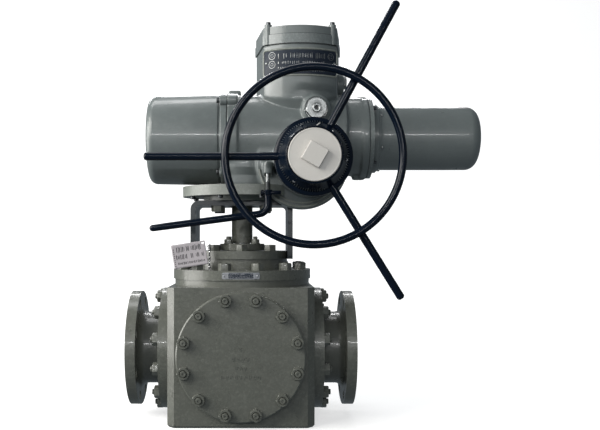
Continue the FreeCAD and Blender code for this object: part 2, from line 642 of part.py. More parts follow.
def handwheel_bars():
    """Three bars screwed into the hub; the upper one stands out further than the others."""
    bars = []
    for angle, extra in zip(BAR_ANGLES, (0, 15.5, -5)):
        turn = Rotation(Vector(0, 1, 0), -90 + angle)
        straight = D["bar_reach"] + extra - D["bar_radius"]
        tip = doc.addObject("Part::Sphere", "tip")
        tip.setExpression("Radius", bound("bar_radius"))
        tip.Placement = Placement(Vector(D["wheel_x"], D["bar_plane"], D["wheel_z"])
                                  + turn.multVec(Vector(0, 0, straight)), Rotation())
        bars.append(fuse(bar(60, straight - 60, angle), tip))
    return group(bars)


def handwheel_rim():
    return torus("rim_radius", "rim_tube", ("wheel_x", "bar_plane - bar_radius - rim_tube", "wheel_z"), "Y")


def handwheel_cap():
    disc = cylinder("cap_radius", "cap_depth", ("wheel_x", "cap_face", "wheel_z"), "Y")
    square = doc.addObject("Part::Box", "square")
    square.Length = 45.6
    square.Width = 45.6
    square.Height = 12
    turn = AXES["Y"].multiply(Rotation(Vector(0, 0, 1), 30))
    square.Placement = Placement(Vector(D["wheel_x"], D["cap_face"] - 11, D["wheel_z"])
                                 + turn.multVec(Vector(-22.8, -22.8, 0)), turn)
    return fuse(disc, square)


# ---------------------------------------------------------------- clutch lever
def lever_pivot():
    """Stud standing in the housing's arm, with its washer and nut below the lever collar."""
    return cylinder("lever_stud", 66, ("lever_x", "lever_y", "lever_collar_top"))


def clutch_lever():
    collar = cylinder("lever_collar_radius", 9, ("lever_x", "lever_y", "lever_collar_top - 9"))
    route = [Vector(0, 0, 540), Vector(2, 0, 512), Vector(-14, 0, 494), Vector(-78, 0, 484),
             Vector(-266, 0, 459)]
    offset = Vector(D["lever_x"], D["lever_y"], 0)
    pieces = [collar]
    for first, last in zip(route, route[1:]):
        rod = doc.addObject("Part::Cylinder", "rod")
        rod.setExpression("Radius", bound("lever_rod"))
        rod.Height = (last - first).Length
        rod.Placement = Placement(offset + first, Rotation(Vector(0, 0, 1), last - first))
        joint = doc.addObject("Part::Sphere", "joint")
        joint.setExpression("Radius", bound("lever_rod"))
        joint.Placement = Placement(offset + last, Rotation())
        pieces += [rod, joint]
    return fuse(*pieces)


# ---------------------------------------------------------------- electrical inserts and tag
def control_board():
    return group([box(8, 130, 120, (x, 0, "axis_height - 60")) for x in (-190, -140, -90)])


def terminal_block():
    return box(120, 70, 30, ("turret_x", 0, 868))


def tilted_plate(length, height, centre, degrees):
    plate = doc.addObject("Part::Box", "plate")
    plate.Length = length
    plate.Width = 1.2
    plate.Height = height
    turn = Rotation(Vector(0, 1, 0), degrees)
    plate.Placement = Placement(Vector(*centre) + turn.multVec(Vector(-length / 2, 0, -height / 2)), turn)
    return plate


def inspection_tag():
    return tilted_plate(82, 57, (-121, -126, 397), -9)


def tag_tie():
    """Twisted wire standing behind a bonnet nut, with the loop that holds the tag's corner."""
    return fuse(cylinder(3.2, 68, (-74.5, -121.2, "bonnet_top")), cylinder(1.4, 14, (-88.5, -123.1, 417), "X"))


# ---------------------------------------------------------------- build
def build():
    node("valve_body", valve_body())
    node("front_blind_cover", front_blind_cover())
    for side in ("left", "right", "rear"):
        node(side + "_port_adapter", port_adapter(side))
    node("front_cover_nuts", group(cover_nuts("front")))
    node("adapter_nuts", group(cover_nuts("left") + cover_nuts("right") + cover_nuts("rear")))
    node("seat_rings", group([seat_ring(side) for side in SIDES]))
    node("lower_trunnion", cylinder("trunnion_radius", 62, (0, 0, 18)))
    makers = [valve_ball, valve_stem, bonnet, bonnet_nuts, bonnet_nameplate, gland_flange, gland_nuts,
              yoke_bracket, yoke_foot_bolts, yoke_top_bolts, drive_base, drive_base_screws, gear_housing,
              terminal_cover, terminal_cover_screws, terminal_block, terminal_nameplate, vent_plug,
              conduit_plugs, control_cover, control_cover_screws, control_board, motor_adapter,
              motor_housing, motor_bolts, motor_rotor, motor_pinion, drive_sleeve, drive_sleeve_bearings,
              worm_wheel, worm_shaft, worm_shaft_bearings, worm_shaft_gear, bevel_gear, bevel_pinion,
              clutch_sleeve, handwheel_shaft, handwheel_bush, handwheel_hub, handwheel_rim,
              handwheel_bars, handwheel_cap, lever_pivot, clutch_lever, inspection_tag, tag_tie]
    for maker in makers:
        node(maker.__name__, maker())
    node("stem_bush", ring(26, "stem_radius + running_gap", 40, (0, 0, "bonnet_plug_bottom")))
    node("packing_rings", group([ring("packing_radius", "stem_radius + running_gap", 9.5,
                                      (0, 0, "body_ring_top + %d" % (10 * step))) for step in range(4)]))
    node("stem_sleeve", ring("sleeve_radius", "stem_radius", 172, (0, 0, "gland_top + 1.5")))
    node("motor_stator", ring("motor_radius - motor_wall", 46, 160, (370, 0, "motor_height"), "X"))
    motor_bearing = "motor_shaft_radius + running_gap"
    node("motor_bearings", group([ring(24, motor_bearing, 12, (x, 0, "motor_height"), "X")
                                  for x in (230, 553)]))
    doc.recompute()


def export():
    os.makedirs("parts", exist_ok=True)
    for item in doc.Objects:
        if "Invalid" in item.State or "Error" in item.State:
            raise RuntimeError("%s did not build: %s" % (item.Name, [o.Name for o in item.OutList]))
    for item in NODES:
        if item.Shape.isNull() or not item.Shape.isValid():
            raise RuntimeError("%s has no valid shape" % item.Label)
        item.Shape.exportStep("parts/%s.step" % item.Label)


build()
export()
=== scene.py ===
"""Looks for the motor-operated multi-port valve: materials, detailed pieces, studio light and camera."""
import json
from math import atan2, cos, pi, radians, sin, sqrt
from random import random, seed, uniform

import bmesh
import bpy
from mathutils import Matrix, Vector

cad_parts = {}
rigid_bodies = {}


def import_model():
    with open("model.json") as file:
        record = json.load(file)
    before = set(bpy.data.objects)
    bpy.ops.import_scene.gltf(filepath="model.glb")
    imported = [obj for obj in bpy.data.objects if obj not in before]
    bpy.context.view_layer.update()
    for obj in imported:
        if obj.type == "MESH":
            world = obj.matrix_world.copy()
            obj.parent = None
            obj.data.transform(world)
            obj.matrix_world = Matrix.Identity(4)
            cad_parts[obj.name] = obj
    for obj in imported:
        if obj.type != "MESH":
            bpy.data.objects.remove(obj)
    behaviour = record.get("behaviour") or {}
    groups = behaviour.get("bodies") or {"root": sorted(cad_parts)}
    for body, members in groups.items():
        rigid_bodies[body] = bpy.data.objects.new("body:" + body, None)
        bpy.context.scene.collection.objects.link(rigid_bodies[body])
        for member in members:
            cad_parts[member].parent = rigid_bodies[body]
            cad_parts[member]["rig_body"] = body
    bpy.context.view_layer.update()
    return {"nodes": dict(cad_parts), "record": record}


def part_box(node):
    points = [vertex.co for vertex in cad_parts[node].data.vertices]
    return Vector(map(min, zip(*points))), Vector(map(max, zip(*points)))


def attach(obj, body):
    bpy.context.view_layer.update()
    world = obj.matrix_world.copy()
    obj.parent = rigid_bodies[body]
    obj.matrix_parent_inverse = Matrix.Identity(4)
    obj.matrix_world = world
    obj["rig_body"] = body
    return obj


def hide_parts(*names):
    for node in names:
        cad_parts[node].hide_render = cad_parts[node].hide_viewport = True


MM = 0.001
FRONT, RIGHT, UP, DOWN = (0, -1, 0), (1, 0, 0), (0, 0, 1), (0, 0, -1)
seed(7)

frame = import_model()
scene = bpy.context.scene
scene.view_settings.view_transform = "Standard"


# ---------------- materials
MIX_A, MIX_B, MIX_RESULT = 6, 7, 2  # colour sockets of the mix node


class Surface:
    """A Principled material built from a few procedural layers in object space."""

    def __init__(self, name, colour, metallic=0.0, roughness=0.35):
        self.material = bpy.data.materials.new(name)
        self.material.use_nodes = True
        self.material.diffuse_color = (*colour, 1)
        self.tree = self.material.node_tree
        self.shader = self.tree.nodes["Principled BSDF"]
        self.set({"Metallic": metallic, "Roughness": roughness})
        self.position = self.tree.nodes.new("ShaderNodeTexCoord").outputs["Object"]
        self.colour_out = (*colour, 1)
        self.height = 0.0

    def set(self, values):
        for key, value in values.items():
            self.shader.inputs[key].default_value = value

    def node(self, kind, inputs=None, **settings):
        item = self.tree.nodes.new(kind)
        for key, value in settings.items():
            setattr(item, key, value)
        for key, value in (inputs or {}).items():
            if isinstance(value, bpy.types.NodeSocket):
                self.tree.links.new(value, item.inputs[key])
            else:
                item.inputs[key].default_value = value
        return item

    def noise(self, scale, detail=4.0, rough=0.55, stretch=None):
        source = self.position
        if stretch:
            source = self.node("ShaderNodeMapping", {"Vector": source, "Scale": stretch}).outputs[0]
        return self.node("ShaderNodeTexNoise", {"Vector": source, "Scale": scale, "Detail": detail,
                                                "Roughness": rough}).outputs["Fac"]

    def ramp(self, value, low, high, low_out=0.0, high_out=1.0):
        return self.node("ShaderNodeMapRange", {"Value": value, "From Min": low, "From Max": high,
                                                "To Min": low_out, "To Max": high_out}).outputs[0]

    def combine(self, operation, value, other):
        return self.node("ShaderNodeMath", {0: value, 1: other}, operation=operation).outputs[0]

    def tint(self, factor, colour):
        """Mix a colour over what is there by a factor socket."""
        mix = self.node("ShaderNodeMix", {"Factor": factor, MIX_A: self.colour_out, MIX_B: (*colour, 1)},
                        data_type="RGBA")
        self.colour_out = mix.outputs[MIX_RESULT]

    def edges(self):
        """Factor that rises on sharp convex edges."""
        return self.ramp(self.node("ShaderNodeNewGeometry").outputs["Pointiness"], 0.515, 0.56)

    def roughen(self, value, low, high):
        self.tree.links.new(self.ramp(value, 0.3, 0.7, low, high), self.shader.inputs["Roughness"])

    def raise_by(self, value, amount):
        self.height = self.combine("ADD", self.height, self.combine("MULTIPLY", value, amount))

    def done(self, depth):
        """Join the layers to the shader, with bumps of a depth in metres."""
        self.tree.links.new(self.colour_out, self.shader.inputs["Base Color"])
        bump = self.node("ShaderNodeBump", {"Height": self.height, "Strength": 1.0, "Distance": depth})
        self.tree.links.new(bump.outputs[0], self.shader.inputs["Normal"])
        return self.material


MATERIALS = {}


def shade(colour, factor):
    return tuple(min(1.0, channel * factor) for channel in colour)


def enamel(name, colour, roughness, casting=0.25, coat=0.35, wear=0.25, peel=0.16, sheen=0.5):
    """Sprayed machinery enamel over cast or plate metal."""
    paint = Surface(name, colour)
    paint.tint(paint.ramp(paint.noise(7, 3), 0.35, 0.7, 0, 0.55), shade(colour, 0.82))
    paint.tint(paint.ramp(paint.noise(60, 5, 0.6), 0.52, 0.78, 0, 0.35), shade(colour, 1.25))
    paint.tint(paint.ramp(paint.noise(24, 8, 0.7, (1, 1, 0.25)), 0.6, 0.75, 0, 0.3), shade(colour, 0.6))
    chips = paint.ramp(paint.noise(140, 5, 0.7), 0.5, 0.62, 0, wear)
    paint.tint(paint.combine("MULTIPLY", paint.edges(), chips), shade(colour, 2.0))
    paint.roughen(paint.noise(30, 4), roughness * 0.8, roughness * 1.35)
    paint.raise_by(paint.noise(330, 2, 0.5), peel)
    paint.raise_by(paint.noise(95, 4, 0.6), casting)
    paint.set({"Specular IOR Level": sheen, "Coat Weight": coat, "Coat Roughness": 0.08})
    MATERIALS[name] = paint.done(0.0012)


def steel(name, colour, roughness, grain=(1, 1, 1), rust=0.0):
    """Bare metal with a fine grain, and rust stains where a share is given."""
    metal = Surface(name, colour, metallic=1.0)
    metal.tint(metal.ramp(metal.noise(40, 5), 0.4, 0.7, 0, 0.5), shade(colour, 0.72))
    if rust:
        metal.tint(metal.ramp(metal.noise(90, 8, 0.7), 0.58, 0.7, 0, rust), (0.12, 0.06, 0.03))
    lines = metal.noise(420, 3, 0.6, grain)
    metal.roughen(lines, roughness * 0.75, roughness * 1.4)
    metal.raise_by(lines, 0.25)
    metal.raise_by(metal.noise(60, 3), 0.2)
    MATERIALS[name] = metal.done(0.0004)


def plastic(name, colour, roughness):
    """Moulded plastic with a fine skin and slight stains."""
    moulded = Surface(name, colour)
    moulded.tint(moulded.ramp(moulded.noise(18, 4), 0.35, 0.7, 0, 0.4), shade(colour, 0.9))
    moulded.tint(moulded.ramp(moulded.noise(150, 6, 0.7), 0.6, 0.75, 0, 0.3), shade(colour, 0.75))
    moulded.roughen(moulded.noise(45, 3), roughness * 0.85, roughness * 1.25)
    moulded.raise_by(moulded.noise(260, 3), 1.0)
    MATERIALS[name] = moulded.done(0.0003)


OLIVE = (0.096, 0.100, 0.086)
GREY = (0.122, 0.139, 0.139)
enamel("valve_paint", OLIVE, roughness=0.3, casting=0.5, coat=0.25)
enamel("actuator_paint", GREY, roughness=0.34, casting=0.28, coat=0.32)
enamel("base_paint", (0.185, 0.198, 0.180), roughness=0.38, casting=0.3, coat=0.15)
enamel("yoke_paint", (0.022, 0.027, 0.031), roughness=0.32, casting=0.15, coat=0.2)
enamel("black_paint", (0.0019, 0.0050, 0.0120), roughness=0.15, casting=0.08, coat=0.0, wear=0.3,
       peel=0.07, sheen=0.20)
plastic("cream_plastic", (0.52, 0.50, 0.47), roughness=0.45)
steel("bright_steel", (0.29, 0.30, 0.30), roughness=0.36)
steel("dark_steel", (0.10, 0.105, 0.11), roughness=0.38, rust=0.2)
steel("ball_steel", (0.62, 0.62, 0.61), roughness=0.14)
steel("bronze", (0.55, 0.33, 0.12), roughness=0.3)
plastic("ptfe", (0.75, 0.75, 0.72), roughness=0.5)
plastic("graphite", (0.03, 0.03, 0.032), roughness=0.55)
steel("copper", (0.50, 0.20, 0.09), roughness=0.35, grain=(1, 6, 6))
plastic("board", (0.02, 0.12, 0.05), roughness=0.4)
plastic("terminal", (0.18, 0.18, 0.17), roughness=0.5)
enamel("nameplate", (0.012, 0.018, 0.030), roughness=0.40, casting=0.1, coat=0.0, sheen=0.18)
steel("bare_plate", (0.40, 0.41, 0.43), roughness=0.32, grain=(0.2, 1, 1))
plastic("tag_plastic", (0.42, 0.39, 0.41), roughness=0.65)
steel("tag_wire", (0.66, 0.66, 0.66), roughness=0.2)
slot_of_node = {part["node"]: part["material_slot"] for part in frame["record"]["subparts"]}
for name, cad_node in frame["nodes"].items():
    cad_node.data.materials.clear()
    cad_node.data.materials.append(MATERIALS[slot_of_node[name]])


# ---------------- mesh helpers
def new_object(name, data):
    item = bpy.data.objects.new(name, data)
    scene.collection.objects.link(item)
    return item


def add_mesh(name, mesh, slot, body, replaced=(), smooth_angle=35):
    """Put a finished mesh in the scene, give it its material and let it ride on a body."""
    piece = new_object(name, mesh)
    mesh.materials.append(MATERIALS[slot])
    finish_shading(piece, smooth_angle)
    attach(piece, body)
    if replaced:
        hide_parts(*replaced)
    return piece


def finish_shading(piece, smooth_angle=35):
    mesh = piece.data
    mesh.polygons.foreach_set("use_smooth", [True] * len(mesh.polygons))
    mesh.set_sharp_from_angle(angle=radians(smooth_angle))


def from_bmesh(name, work):
    bmesh.ops.remove_doubles(work, verts=work.verts, dist=1e-6)
    bmesh.ops.recalc_face_normals(work, faces=work.faces)
    return plain_mesh(name, work)


def plain_mesh(name, work):
    mesh = bpy.data.meshes.new(name)
    work.to_mesh(mesh)
    work.free()
    return mesh


def add_work(name, work, slot, body="housing", replaced=(), smooth_angle=35):
    """Turn a bmesh into a piece of the scene."""
    return add_mesh(name, from_bmesh(name, work), slot, body, replaced, smooth_angle)


def own(node):
    """The material slot that the record gives a node."""
    return slot_of_node[node]


def stand_in(node, work, smooth_angle):
    """Put a bmesh in the place of a CAD node, with its slot and on its body."""
    body = frame["nodes"][node]["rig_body"]
    return add_work(node + "_detail", work, own(node), body, [node], smooth_angle)


def bridge(work, first, second, closed=True):
    """Faces between two rows of vertices."""
    count = len(first)
    for k in range(count if closed else count - 1):
        following = (k + 1) % count
        work.faces.new((first[k], first[following], second[following], second[k]))


def bridge_all(work, rows, closed=True):
    for first, second in zip(rows, rows[1:]):
        bridge(work, first, second, closed)


def full_turn(count):
    """Evenly spaced angles round a circle."""
    return [2 * pi * k / count for k in range(count)]


def ring_points(work, place, radius, along, count):
    """Vertices round a place's local Z axis."""
    return [work.verts.new(place @ Vector((radius * cos(turn), radius * sin(turn), along)))
            for turn in full_turn(count)]


def lathe(work, profile, place, segments=96):
    """Spin (along, radius) points about the local Z axis; from_bmesh merges what meets on the axis."""
    bridge_all(work, [ring_points(work, place, radius, along, segments) for along, radius in profile])


def rounded_corner(along, radius, size, start, end, steps=6):
    """Points of a round corner about a centre, angles in degrees from the axis direction."""
    angles = [radians(start + (end - start) * k / steps) for k in range(steps + 1)]
    return [(along + size * cos(angle), radius + size * sin(angle)) for angle in angles]


QUARTERS = ((1, 1), (-1, 1), (-1, -1), (1, -1))


def rounded_rectangle(half_width, half_height, corner, steps):
    """The four round corners, as lists of points, of a rectangle about the origin."""
    return [rounded_corner(sx * (half_width - corner), sz * (half_height - corner), corner,
                           90 * quarter, 90 * quarter + 90, steps)
            for quarter, (sx, sz) in enumerate(QUARTERS)]


def axis_place(origin, direction, spin=0.0):
    """Matrix that carries local Z on to a direction at an origin."""
    turn = Vector((0, 0, 1)).rotation_difference(Vector(direction)).to_matrix().to_4x4()
    return Matrix.Translation(Vector(origin)) @ turn @ Matrix.Rotation(spin, 4, "Z")


NUT_POINTS = 24


def hex_nut(work, place, corner, height, chamfer=0.12, bolt=None):
    """Hexagon nut or bolt head with chamfered corners, from its centre to a corner; bolt adds a
    stud end (radius, length) that stands in a countersink."""
    rings = []
    for up, shrink in ((0.0, 1.0), (1 - chamfer, 1.0), (1.0, 1 - chamfer * 1.15)):
        ring = []
        for angle in full_turn(NUT_POINTS):
            flat = cos(pi / 6) / cos((angle % (pi / 3)) - pi / 6)
            radius = corner * min(flat, shrink if shrink < 1 else flat)
            local = Vector((radius * cos(angle), radius * sin(angle), up * height))
            ring.append(work.verts.new(place @ local))
        rings.append(ring)
    if bolt:
        for radius, up in ((bolt[0] * 1.36, height), (bolt[0] * 1.02, height - 0.0026)):
            rings.append(ring_points(work, place, radius, up, NUT_POINTS))
    bridge_all(work, rings)
    work.faces.new(rings[0])
    work.faces.new(rings[-1])
    if bolt:
        radius, length = bolt
        turns = max(2, int(length / 0.0018))
        profile = [(height - 0.0027, radius)]
        for k in range(turns):
            start = height + length * k / turns
            profile += [(start, radius), (start + length * 0.5 / turns, radius * 0.9)]
        profile += [(height + length, radius * 0.86), (height + length, radius * 0.40),
                    (height + length - 0.0015, radius * 0.34), (height + length - 0.0015, 0)]
        lathe(work, profile, place, 20)


def circle_spots(count, radius, start):
    """Points round a circle, the first at a start angle in degrees."""
    angles = [radians(start + 360 * k / count) for k in range(count)]
    return [(radius * cos(angle), radius * sin(angle)) for angle in angles]


def bevel(piece, width):
    """Rounded edges on a piece that keeps its CAD mesh."""
    modifier = piece.modifiers.new("edges", "BEVEL")
    modifier.width = width
    modifier.segments = 2
    modifier.limit_method = "ANGLE"
    modifier.angle_limit = radians(40)
    modifier.harden_normals = False


# ---------------- measures read from the frame
def centre(node):
    low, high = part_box(node)
    return (low + high) / 2


PORT_HEIGHT = centre("front_blind_cover").z
COVER_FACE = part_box("front_blind_cover")[0].y
WHEEL = centre("handwheel_rim")
BARREL_HEIGHT = centre("control_cover").z
TURRET = centre("terminal_cover")
MOTOR = centre("motor_adapter")
MOTOR_COLLAR = 0.337


def mm(*numbers):
    return Vector([number * MM for number in numbers])


# ---------------- plain CAD nodes
for name, cad_node in frame["nodes"].items():
    finish_shading(cad_node)
    low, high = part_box(name)
    bevel(cad_node, 0.0018 if min(high - low) > 0.03 else 0.0005)


# ---------------- castings with poured fillets
def casting(name, voxel, rounds):
    """Copy of a CAD node remeshed and relaxed so that its inside corners fill in like a casting's."""
    source = frame["nodes"][name]
    mesh = source.data.copy()
    mesh.name = name + "_casting"
    mesh.materials.clear()
    piece = add_mesh(name + "_casting", mesh, own(name), source["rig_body"], [name], 60)
    remesh = piece.modifiers.new("skin", "REMESH")
    remesh.mode = "VOXEL"
    remesh.voxel_size = voxel
    remesh.use_smooth_shade = True
    relax = piece.modifiers.new("relax", "SMOOTH")
    relax.factor = 0.5
    relax.iterations = rounds


casting("gear_housing", voxel=0.0024, rounds=9)


def yoke_and_foot():
    """The bent yoke plate in its own paint and the round foot ring in the valve's paint."""
    source = frame["nodes"]["yoke_bracket"]
    ring_top, ring_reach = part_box("yoke_foot_bolts")[0].z + 0.0005, 0.1098
    for name, slot, wants_ring in (("yoke_plate", "yoke_paint", False),
                                   ("yoke_foot_ring", "valve_paint", True)):
        work = bmesh.new()
        work.from_mesh(source.data)
        strangers = []
        for face in work.faces:
            spot = source.matrix_world @ face.calc_center_median()
            on_ring = spot.z < ring_top and abs(spot.x) < ring_reach
            if on_ring != wants_ring:
                strangers.append(face)
        bmesh.ops.delete(work, geom=strangers, context="FACES")
        work.transform(source.matrix_world)
        piece = add_mesh(name, plain_mesh(name, work), slot, source["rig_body"], ["yoke_bracket"], 40)
        bevel(piece, 0.0016)


yoke_and_foot()


# ---------------- nuts and bolts
def upright_places(spots, level, facing=UP):
    """Places on a level plane, facing up or down."""
    return [axis_place((x, y, level), facing) for x, y in spots]


def sideways_places(spots, start, height, facing):
    """Places on a plane across X, round a centre at a height on the middle plane."""
    return [axis_place((start, y, height + z), (facing, 0, 0)) for y, z in spots]


def nut_set(name, places, corner, height, stud=None, spread=0.0):
    """Nuts or bolt heads, each turned a little differently, with washers where a spread is given."""
    work = bmesh.new()
    for place in places:
        turned = place @ Matrix.Rotation(uniform(0, pi / 3), 4, "Z")
        washer_height = 0.0016 if spread else 0.0
        if spread:
            lathe(work, [(0, spread * 0.4), (0, spread), (washer_height, spread),
                         (washer_height, spread * 0.4)], turned, 28)
        lifted = turned @ Matrix.Translation((0, 0, washer_height))
        hex_nut(work, lifted, corner, height - washer_height, bolt=stud)
    stand_in(name, work, 30)


NUT_CORNER = 0.0154
NUT_HEIGHT = 0.013
BOLT_HEAD = 0.0145
PORT_STUDS = 12
PORT_CIRCLE = 0.1335
STUD = (0.0070, 0.005)  # radius, and length beyond the nut
nut_set("front_cover_nuts",
        [axis_place((x, COVER_FACE, PORT_HEIGHT + z), FRONT)
         for x, z in circle_spots(PORT_STUDS, PORT_CIRCLE, 15)], NUT_CORNER, NUT_HEIGHT, STUD)
side_places = []
for side_x, side_y in ((1, 0), (-1, 0), (0, 1)):
    for across, up in circle_spots(PORT_STUDS, PORT_CIRCLE, 15):
        spot = (-COVER_FACE * side_x + across * side_y, -COVER_FACE * side_y + across * side_x,
                PORT_HEIGHT + up)
        side_places.append(axis_place(spot, (side_x, side_y, 0)))
nut_set("adapter_nuts", side_places, NUT_CORNER, NUT_HEIGHT, STUD)
nut_set("bonnet_nuts", upright_places(circle_spots(12, 0.147, 15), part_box("bonnet_nuts")[0].z),
        NUT_CORNER, height=0.0165, stud=(0.0076, 0.0013))
nut_set("yoke_foot_bolts", upright_places(circle_spots(6, 0.080, 30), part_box("yoke_foot_bolts")[0].z),
        NUT_CORNER, BOLT_HEAD)
nut_set("yoke_top_bolts",
        upright_places(circle_spots(4, 0.0825, 45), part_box("yoke_top_bolts")[1].z, DOWN),
        NUT_CORNER, BOLT_HEAD)
GLAND_SPOTS = [(x, y) for x in (-0.033, 0.033) for y in (-0.033, 0.033)]
nut_set("gland_nuts", upright_places(GLAND_SPOTS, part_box("gland_nuts")[0].z),
        corner=0.0104, height=0.011, stud=(0.0058, 0.007), spread=0.0115)
nut_set("motor_bolts",
        sideways_places(circle_spots(4, 0.093, 45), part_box("motor_bolts")[0].x, MOTOR.z, 1),
        corner=0.0046, height=0.008)


def socket_screws(name, places, radius, height):
    """Round screw heads with a round socket recess and a rounded rim."""
    work = bmesh.new()
    for place in places:
        rim = radius * 0.14
        profile = [(0, 0), (0, radius), (height - rim, radius)]
        profile += rounded_corner(height - rim, radius - rim, rim, 90, 0, 4)
        profile += [(height, radius * 0.58), (height * 0.45, radius * 0.55), (height * 0.45, 0)]
        lathe(work, profile, place, 24)
    stand_in(name, work, 30)


COVER_CIRCLE = 0.121
LID_SPOTS = [(TURRET.x + sx * 0.077, sy * 0.076) for sx in (-1, 1) for sy in (-1, 1)]
BASE_SPOTS = [spot for spot in circle_spots(8, 0.128, 22.5) if spot[0] < 0.1]
socket_screws("terminal_cover_screws", upright_places(LID_SPOTS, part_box("terminal_cover_screws")[0].z),
              radius=0.006, height=0.007)
socket_screws("control_cover_screws",
              sideways_places(circle_spots(4, COVER_CIRCLE, 45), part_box("control_cover_screws")[1].x,
                              BARREL_HEIGHT, -1), radius=0.007, height=0.008)


def stamped_marks():
    """Faint rows of generic punched strokes about the middle of the front cover."""
    work = bmesh.new()
    spacing, pair_gap = 0.0105, 0.0040
    for up, count, tall in ((0.020, 1, 0.011), (-0.004, 4, 0.013), (-0.024, 3, 0.010),
                            (-0.044, 9, 0.012)):
        for k in range(count):
            across = (k - (count - 1) / 2) * spacing + uniform(-0.001, 0.001)
            for part in range(2):
                spot = Vector((across + (part - 0.5) * pair_gap, COVER_FACE - 0.0001,
                               PORT_HEIGHT + up + uniform(-0.001, 0.001)))
                place = Matrix.Translation(spot) @ Matrix.Rotation(uniform(-0.5, 0.5), 4, "Y")
                for vertex in bmesh.ops.create_cube(work, size=1.0)["verts"]:
                    vertex.co = place @ Vector((vertex.co.x * 0.0013, vertex.co.y * 0.0012,
                                                vertex.co.z * tall * uniform(0.5, 0.9)))
    add_work("cover_stamped_marks", work, "valve_paint", smooth_angle=30)


stamped_marks()
socket_screws("drive_base_screws", upright_places(BASE_SPOTS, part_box("drive_base_screws")[1].z, DOWN),
              radius=0.0065, height=0.007)


# ---------------- handwheel
WHEEL_PLACE = axis_place((WHEEL.x, 0.0, WHEEL.z), FRONT)
HUB_BACK, HUB_RADIUS = 0.197, 0.0883
CAP_RADIUS, CAP_FACE = 0.0592, 0.267
CAP_BACK = CAP_FACE - 0.011
CONE_FOOT, CONE_MOUTH = Vector((0.030, HUB_RADIUS - 0.0090)), Vector((0.062, CAP_RADIUS + 0.0050))
BAR_PLANE, BAR_RADIUS = 0.222, 0.0091
RING_RADIUS, RING_TUBE = 0.196, 0.0089
BARS = ((180, 0.3778), (61.6, 0.3922), (-58.2, 0.3728))  # angle in degrees, reach from the axis


def handwheel_hub():
    """Stepped hub with a groove round its edge and a cone that rises to the cap."""
    work = bmesh.new()
    edge, mouth, end = HUB_RADIUS, CAP_RADIUS, CAP_BACK - HUB_BACK
    profile = [(0, 0), (0, edge - 0.003)]
    profile += rounded_corner(0.003, edge - 0.003, 0.003, 180, 90)
    profile += [(0.0125, edge), (0.013, edge - 0.0012), (0.0145, edge - 0.0012), (0.015, edge)]
    profile += rounded_corner(0.0245, edge - 0.0035, 0.0035, 90, 25)
    profile += [(0.029, edge - 0.0060), CONE_FOOT, (0.048, edge - 0.0175), CONE_MOUTH]
    profile += rounded_corner(0.065, mouth + 0.0022, 0.0020, 70, 0)
    profile += [(0.0655, mouth + 0.0004), (end, mouth + 0.0003), (end, 0)]
    lathe(work, profile, WHEEL_PLACE @ Matrix.Translation((0, 0, HUB_BACK)), 128)
    stand_in("handwheel_hub", work, 28)


def cone_point(angle, share, lift):
    """A point on the hub's cone, share 0 at the ledge and 1 at the cap, lifted off the surface."""
    along, radius = CONE_FOOT.lerp(CONE_MOUTH, share)
    lean = atan2(CONE_MOUTH.x - CONE_FOOT.x, CONE_FOOT.y - CONE_MOUTH.y)
    radius += lift * sin(lean)
    along += lift * cos(lean) + HUB_BACK
    return WHEEL_PLACE @ Vector((radius * cos(angle), radius * sin(angle), along))


def cone_bar(work, angle, low, high, width, lift, slant=0.0):
    """Low bar raised on the hub's cone between two shares of its slope."""
    corners = []
    for height in (-0.0006, lift):
        for share, side in ((low, -1), (low, 1), (high, 1), (high, -1)):
            radius = HUB_RADIUS * (1 - share) + CAP_RADIUS * share
            turn = angle + (side * width / 2 + slant * (share - low)) / radius
            corners.append(work.verts.new(cone_point(turn, share, height)))
    work.faces.new(corners[4:])
    bridge(work, corners[:4], corners[4:])


def hub_dial():
    """Raised graduation ticks and set screws on the cone of the hub."""
    work = bmesh.new()
    ticks, clear_of_bars = 90, 13
    for step in range(ticks):
        angle = step * 360 / ticks
        nearest = min(abs((angle - bar_angle + 180) % 360 - 180) for bar_angle, _ in BARS)
        if nearest < clear_of_bars:
            continue
        reach, width = (0.46, 0.0022) if step % 5 == 0 else (0.30, 0.0012)
        cone_bar(work, radians(angle), 0.08, reach, width, 0.0010)
    add_work("hub_dial", work, "yoke_paint", "handwheel", smooth_angle=30)
    screws = bmesh.new()
    for angle in (-8, 112, 232):
        spot = cone_point(radians(angle), 0.45, -0.0010)
        lathe(screws, [(0, 0.0036), (0.0026, 0.0036), (0.0032, 0.0031), (0.0032, 0.0019),
                       (0.0012, 0.0017), (0.0012, 0)], axis_place(spot, FRONT), 20)
    add_work("hub_set_screws", screws, "dark_steel", "handwheel", smooth_angle=30)


def index_mark():
    """White pointer painted thick on the cone beside the cap."""
    work = bmesh.new()
    cone_bar(work, radians(85.5), 1.0, 0.44, width=0.0028, lift=0.0008, slant=0.0135)
    add_work("index_mark", work, "cream_plastic", "handwheel")


